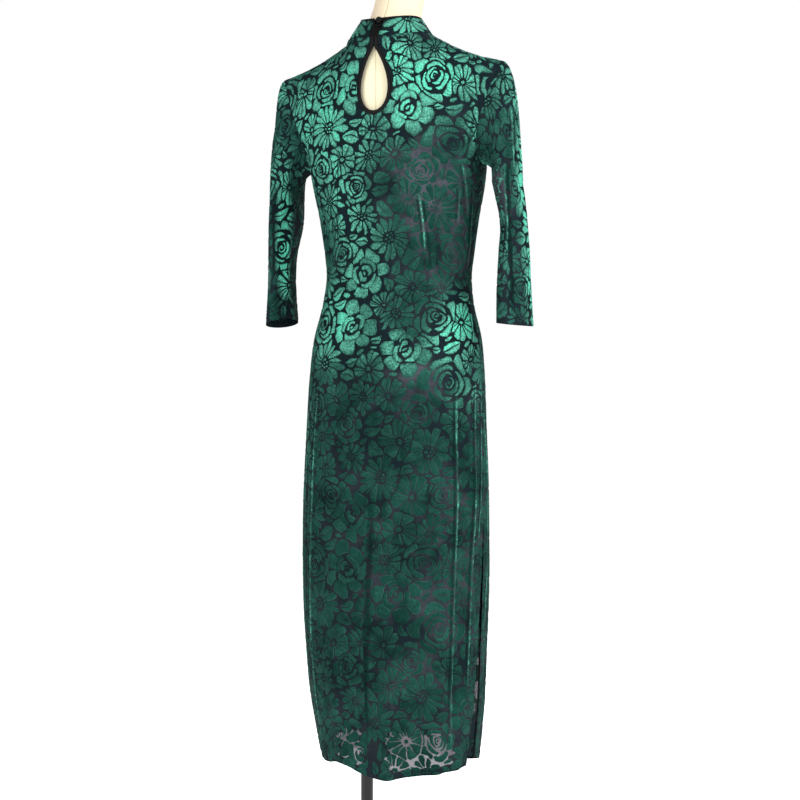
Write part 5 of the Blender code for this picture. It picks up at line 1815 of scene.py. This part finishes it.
class CHEONGSAM_OT_stand(Operator):
    """Make the pole, its flange with screws and the round base"""

    bl_idname = "cheongsam.stand"
    bl_label = "Stand"

    def execute(self, context):
        low = BASE_THICK + SEAM_GAP
        top = low + FLANGE_HEIGHT
        disc = self.rounded(BASE_RADIUS, 0.0, BASE_THICK, 0.003)
        flange = (
            (0.001, low), (FLANGE_RADIUS, low), (FLANGE_RADIUS, low + 0.003),
            (FLANGE_RADIUS - 0.0015, low + 0.005), (0.020, low + 0.0065), (0.0165, low + 0.009),
            (0.0160, top - 0.002), (0.0145, top), (0.001, top),
        )
        tube = self.rounded(POLE_RADIUS, top + SEAM_GAP, FORM_BOTTOM - SEAM_GAP, 0.0008)
        pieces = (
            # name, node, (radius, height) pairs of its outline, sides
            ("base_disc", "base_plate", disc, 128),
            ("pole_flange", "base_flange", flange, 64),
            ("pole_tube", "pole", tube, 48),
        )
        for name, node, outline, sides in pieces:
            turn = round_turn(sides)
            ring = np.stack([np.cos(turn), np.sin(turn)], axis=-1)
            grid = [np.concatenate([r * ring, np.full((sides, 1), z)], axis=1) for r, z in outline]
            piece = add_tube(name, np.array(grid) - BODY_PLACE, enamel_finish())
            seated(piece, "black_enamel", node)
        places = [(*polar(SCREW_RING, turn), low + SCREW_SEAT) for turn in SCREW_TURNS]
        heads = screws("flange_screws", places, SCREW_RADIUS, SCREW_RISE, enamel_finish())
        seated(heads, "black_enamel")
        return {"FINISHED"}

    def rounded(self, radius, low, high, edge):
        """The outline of a round bar or plate whose edges are rounded."""
        quarter = np.linspace(0, math.pi / 2, 5)
        steps = [(edge * (1 - math.sin(a)), edge * (1 - math.cos(a))) for a in quarter]
        bottom = [(radius - inset, low + up) for inset, up in steps]
        upper = [(radius - inset, high - up) for inset, up in steps[::-1]]
        return [(0.001, low)] + bottom + upper + [(0.001, high)]


class CHEONGSAM_OT_panels(Operator):
    """Make the front and the back of the dress, ground and pile"""

    bl_idname = "cheongsam.panels"
    bl_label = "Front and back"

    def execute(self, context):
        panel_piece("back", "back_panel")
        panel_piece("front", "front_panel")
        slit_facing()
        return {"FINISHED"}


class CHEONGSAM_OT_sleeves(Operator):
    """Make both sleeves, ground and pile"""

    bl_idname = "cheongsam.sleeves"
    bl_label = "Sleeves"

    def execute(self, context):
        for name in ("left", "right"):
            block = sleeve_block(name)
            points, flat = block.points.reshape(-1, 3), block.flat.reshape(-1, 2)
            index = np.arange(len(points)).reshape(block.points.shape[:2])
            index[:, -1] = index[:, 0]
            quads = grid_quads(index, flip=block.turned)
            backed = np.ones(len(points))
            cloth = ground_cloth(name + "_sleeve_cloth", name, points, quads, flat, backed)
            seated(cloth, "velvet", name + "_sleeve")
            anchor = np.array(SLEEVE_PATTERN[name])
            pile = pile_mesh(name + "_sleeve_pile", [block], anchor, name, -1)
            seated(pile, "velvet")
            block.size()
            float(block.area())
        return {"FINISHED"}


class CHEONGSAM_OT_collar(Operator):
    """Make the stand collar, ground and pile"""

    bl_idname = "cheongsam.collar"
    bl_label = "Collar"

    def execute(self, context):
        block = collar_block()
        points, flat = block.points.reshape(-1, 3), block.flat.reshape(-1, 2)
        index = np.arange(len(points)).reshape(block.points.shape[:2])
        quads = grid_quads(index, flip=block.turned)
        cloth = ground_cloth("collar_cloth", "collar", points, quads, flat, np.ones(len(points)))
        wall = cloth.modifiers.new("inner_face", "SOLIDIFY")
        wall.thickness, wall.offset = COLLAR_CLOTH, -1
        make_plain(cloth)
        seated(cloth, "velvet", "collar")
        pile = pile_mesh("collar_pile", [block], np.array(COLLAR_PATTERN), "collar")
        seated(pile, "velvet")
        wide, tall = block.size()
        float(min(block.area(), wide * tall))
        return {"FINISHED"}


class CHEONGSAM_OT_lining(Operator):
    """Make the skirt's lining"""

    bl_idname = "cheongsam.lining"
    bl_label = "Lining"

    def execute(self, context):
        for panel in ("back", "front"):
            rows, columns = np.linspace(LINING_HEM, LINING_TOP, 60), np.linspace(-1, 1, 97)
            heights, places = together(rows[:, None], columns[None])
            low, high = slit_margins(panel, heights)
            back = np.interp(heights, *zip(*LINING_EDGE))
            points = across_section(heights, panel, places, (low + back, high + back))
            normals = way_out(points, panel == "back")
            points = points - normals * LINING_INSET
            points += normals * (fold_proud(panel, places, heights) * LINING_FOLDS)[..., None]
            index = np.arange(heights.size).reshape(heights.shape)
            quads = grid_quads(index, flip=panel == "back")
            node = "lining_" + panel
            piece = add_mesh(node + "_cloth", points.reshape(-1, 3), quads, lining_finish())
            seated(piece, "lining", node)
            area = float(Block(points, points[..., :2], False).area())
        return {"FINISHED"}


class CHEONGSAM_OT_trims(Operator):
    """Make the collar's piping, the keyhole's binding and the edge stitching"""

    bl_idname = "cheongsam.trims"
    bl_label = "Trims"

    def execute(self, context):
        angles = collar_angles()
        normal = collar_normal(angles)
        top = squared_off(collar_point(angles, 1.0))
        up = unit(np.array([0.0, 0.0, 1.0]) - normal * normal[:, 2:])
        centre = top - normal * COLLAR_CLOTH / 2 + up * (SEAM_GAP * 1.5 + PIPING_HEIGHT / 2)
        profile = ring_profile(PIPING_WIDTH / 2, 14, PIPING_HEIGHT / PIPING_WIDTH)
        grid = centre[:, None] + normal[:, None] * profile[:, :1] + up[:, None] * profile[:, 1:]
        seated(add_tube("collar_piping_cord", grid, binding_finish()), "binding", "collar_piping")
        self.add_binding()
        return {"FINISHED"}

    def add_binding(self):
        """A folded strip that edges the collar's ends and the keyhole."""
        inner, outer = keyhole_rows(0.0), keyhole_rows(BINDING_WIDTH)
        near, normal = back_at(inner[:-1, 0], inner[:-1, 1])
        far, _ = back_at(outer[:-1, 0], outer[:-1, 1])
        collar_way = collar_normal(np.array(math.pi / 2))
        shares = np.linspace(0, 1, 12)
        middle = collar_point(np.full(12, math.pi / 2), shares)
        near = np.concatenate([near, middle + np.array([SEAM_GAP, 0, 0])])
        far = np.concatenate([far, middle + np.array([SEAM_GAP + BINDING_WIDTH, 0, 0])])
        normal = np.concatenate([normal, np.broadcast_to(collar_way, (12, 3))])
        mirror = np.array([-1, 1, 1])
        near, far, normal = (np.concatenate([a[:0:-1] * mirror, a]) for a in (near, far, normal))
        near, far = (a + np.array([0, SEAM_GAP / 2, 0]) for a in (near, far))
        grid = [near * (1 - share) + far * share + normal * out for share, out in BINDING_OUTLINE]
        grid = np.stack(grid, axis=1)
        strip = add_tube("keyhole_binding_strip", grid, binding_finish())
        seated(strip, "binding", "keyhole_binding")
        row = near * STITCH_ROW[0] + far * STITCH_ROW[1] + normal * STITCH_LIFT
        piece = stitches("binding_stitches", row, normal, STITCH_SIZES, binding_finish())
        seated(piece, "binding")


class CHEONGSAM_OT_closure(Operator):
    """Make the knotted ball button and the loop that holds it"""

    bl_idname = "cheongsam.closure"
    bl_label = "Button and loop"

    def execute(self, context):
        back = np.array(math.pi / 2)
        normal = collar_normal(back)
        seat = collar_point(back, BUTTON_SHARE) + normal * (BINDING_PROUD + SEAM_GAP * 1.5)
        centre = seat + normal * BUTTON_RADIUS + np.array([BUTTON_SIDE, SEAM_GAP / 2, 0])
        turn = round_turn(180)
        reach = BUTTON_RADIUS - KNOT_CORD + KNOT_SWELL * np.cos(2 * KNOT_WINDINGS * turn)
        tilt = KNOT_TILT * np.sin(KNOT_WINDINGS * turn)
        level = np.cos(tilt)
        way = np.stack([level * np.cos(2 * turn), level * np.sin(2 * turn), np.sin(tilt)], axis=-1)
        across = np.array([1.0, 0, 0])
        up = np.cross(across, normal)
        knot = (way[:, :1] * across + way[:, 1:2] * up + way[:, 2:] * normal) * reach[:, None]
        knot = centre + knot
        grid = sweep(knot, unit(knot - centre), ring_profile(KNOT_CORD, 8), closed=True)
        button = add_tube("button_knot", grid, binding_finish(), closed=True)
        core = bmesh.new()
        bmesh.ops.create_icosphere(core, subdivisions=3, radius=BUTTON_RADIUS - CORE_INSET)
        bmesh.ops.translate(core, verts=core.verts, vec=tuple(centre + BODY_PLACE))
        seated(from_bmesh("button_core", core, binding_finish()), "binding")
        seated(button, "binding", "ball_button")

        turn = round_turn(72)
        stretch = np.where(np.cos(turn) > 0, LOOP_STRETCH, 1.0)[:, None]
        ring_radius = BUTTON_RADIUS + LOOP_RADIUS + SEAM_GAP
        middle = centre - normal * (BUTTON_RADIUS - LOOP_RADIUS * LOOP_SEAT)
        ring = across * np.cos(turn)[:, None] * stretch + up * np.sin(turn)[:, None]
        path = middle + ring * ring_radius
        outwards = np.broadcast_to(normal, path.shape)
        grid = sweep(path, outwards, ring_profile(LOOP_RADIUS, 10), closed=True)
        loop = add_tube("button_loop_cord", grid, binding_finish(), closed=True)
        seated(loop, "binding", "button_loop")
        return {"FINISHED"}


class CHEONGSAM_OT_stage(Operator):
    """Make the floor, the lights and the camera"""

    bl_idname = "cheongsam.stage"
    bl_label = "Stage"

    def execute(self, context):
        settings = context.scene.cheongsam
        floor = bpy.data.meshes.new("floor")
        signs = ((-1, -1), (1, -1), (1, 1), (-1, 1))
        corners = [(x * FLOOR_REACH, y * FLOOR_REACH, 0) for x, y in signs]
        floor.from_pydata(corners, [], [(0, 1, 2, 3)])
        floor.materials.append(floor_finish())
        ground = linked("floor", floor)

        turn = settings.camera_turn
        back = np.array([-math.sin(turn), math.cos(turn), 0.0])
        right = np.array([-math.cos(turn), -math.sin(turn), 0.0])
        lens = bpy.data.cameras.new("camera")
        lens.lens, lens.sensor_width = settings.camera_lens, SENSOR_WIDTH
        camera = linked("camera", lens)
        camera.location = BODY_PLACE + back * settings.camera_distance
        camera.location.z += CAMERA_HEIGHT
        camera.rotation_euler = (math.pi / 2, 0.0, math.pi + turn)
        context.scene.camera = camera

        for name, aside, near, height, size, power in LAMPS:
            data = bpy.data.lights.new(name, "AREA")
            data.energy, data.size = power * settings.lamp_power, size
            lamp = linked(name, data)
            lamp.location = BODY_PLACE + right * aside + back * near + np.array([0, 0, height])
            aim = lamp.location - Vector((*BODY_PLACE[:2], AIM_HEIGHT))
            lamp.rotation_euler = aim.to_track_quat("Z", "Y").to_euler()
        world = bpy.data.worlds.new("studio")
        world.use_nodes = True
        nodes, links = world.node_tree.nodes, world.node_tree.links
        sky, backdrop = nodes["Background"], nodes.new("ShaderNodeBackground")
        for light in (sky, backdrop):
            light.inputs["Color"].default_value = (1.0, 1.0, 1.0, 1.0)
        sky.inputs["Strength"].default_value = settings.sky_power
        seen, either = nodes.new("ShaderNodeLightPath"), nodes.new("ShaderNodeMixShader")
        links.new(seen.outputs["Is Camera Ray"], either.inputs["Fac"])
        links.new(sky.outputs[0], either.inputs[1])
        links.new(backdrop.outputs[0], either.inputs[2])
        links.new(either.outputs[0], nodes["World Output"].inputs["Surface"])
        context.scene.world = world
        context.scene.view_settings.view_transform = "Standard"
        return {"FINISHED"}


# ---- add-on
def colour_property(name, description, default):
    return FloatVectorProperty(
        name=name, description=description, default=default, size=3, min=0.0, max=1.0,
        subtype="COLOR",
    )


class CheongsamSettings(PropertyGroup):
    """Sizes and colours of the dress, its form and its stage"""

    pile_height: FloatProperty(
        name="Pile height", description="How far the velvet pile stands over its ground",
        default=0.0006, min=0.0002, max=0.003, subtype="DISTANCE", unit="LENGTH",
    )
    crease_depth: FloatProperty(
        name="Crease depth", description="Depth of the fine creases, as a share of their own",
        default=1.0, min=0.0, max=2.0, subtype="FACTOR",
    )
    # The pile's colour without painted sheen; the finish paints lighter and darker copies of it.
    pile_dark: colour_property(
        "Pile away from the light",
        "Colour of pile brushed away from the light",
        (0.0072, 0.049, 0.038),
    )
    # Painted highlight: the pile's colour where its painted sheen is full.
    pile_bright: colour_property(
        "Pile towards the light", "Colour of pile brushed towards the light", (0.115, 0.66, 0.45)
    )
    # Painted half sheen on the pile.
    pile_sheen: colour_property(
        "Half lit pile", "Colour of pile brushed partly towards the light", (0.095, 0.36, 0.265)
    )
    # Painted rim highlight on petal edges where the painted sheen is weak.
    pile_rim: colour_property(
        "Edge of dark pile", "Colour of petal edges where the pile lies away", (0.038, 0.105, 0.092)
    )
    ground_dark: colour_property(
        "Ground under bright pile",
        "Colour of the sheer ground on dark lining",
        (0.0045, 0.011, 0.014),
    )
    # Painted light on the sheer ground.
    ground_pale: colour_property(
        "Ground under dark pile",
        "Colour of the sheer ground where it catches light",
        (0.060, 0.065, 0.078),
    )
    # Painted light coming through the sheer ground.
    ground_lit: colour_property(
        "Ground against the light",
        "Colour of the sheer ground where light comes through it",
        (0.15, 0.145, 0.16),
    )
    binding: colour_property(
        "Binding", "Colour of the satin binding, piping and button", (0.002, 0.002, 0.0022)
    )
    lining: colour_property("Lining", "Colour of the skirt's lining", (0.012, 0.013, 0.016))
    form_cover: colour_property("Form cover", "Colour of the form's jersey", (0.82, 0.75, 0.53))
    enamel: colour_property("Enamel", "Colour of the stand", (0.016, 0.016, 0.017))
    floor: colour_property("Floor", "Colour of the studio floor", (0.95, 0.95, 0.95))
    lamp_power: FloatProperty(
        name="Lamp power", description="Share of the lamps' own power", default=1.0, min=0.0,
        max=5.0, subtype="FACTOR",
    )
    sky_power: FloatProperty(
        name="Sky power", description="Strength of the white surroundings", default=0.35,
        min=0.0, max=3.0,
    )
    camera_turn: FloatProperty(
        name="Camera turn",
        description="How far the camera stands round from straight behind the dress",
        default=math.radians(24), subtype="ANGLE", unit="ROTATION",
    )
    camera_distance: FloatProperty(
        name="Camera distance", description="From the dress's middle to the camera",
        default=2.8, min=1.0, max=10.0, subtype="DISTANCE", unit="LENGTH",
    )
    camera_lens: FloatProperty(
        name="Camera lens", description="Focal length", default=74.97, min=20.0, max=200.0,
        subtype="DISTANCE_CAMERA",
    )


OPERATORS = (
    CHEONGSAM_OT_stage,
    CHEONGSAM_OT_form,
    CHEONGSAM_OT_stand,
    CHEONGSAM_OT_panels,
    CHEONGSAM_OT_sleeves,
    CHEONGSAM_OT_collar,
    CHEONGSAM_OT_lining,
    CHEONGSAM_OT_trims,
    CHEONGSAM_OT_closure,
)


class CHEONGSAM_PT_panel(Panel):
    """Buttons that make each part of the dress"""

    bl_idname = "CHEONGSAM_PT_panel"
    bl_label = "Cheongsam"
    bl_space_type = "VIEW_3D"
    bl_region_type = "UI"
    bl_category = "Cheongsam"

    def draw(self, context):
        for name in CheongsamSettings.__annotations__:
            self.layout.prop(context.scene.cheongsam, name)
        for operator in OPERATORS:
            self.layout.operator(operator.bl_idname)


CLASSES = (CheongsamSettings, *OPERATORS, CHEONGSAM_PT_panel)


def register():
    for each in CLASSES:
        bpy.utils.register_class(each)
    bpy.types.Scene.cheongsam = PointerProperty(type=CheongsamSettings)


def unregister():
    del bpy.types.Scene.cheongsam
    for each in reversed(CLASSES):
        bpy.utils.unregister_class(each)


def main():
    register()
    for operator in OPERATORS:
        group, name = operator.bl_idname.split(".")
        getattr(getattr(bpy.ops, group), name)()


if __name__ == "__main__":
    main()
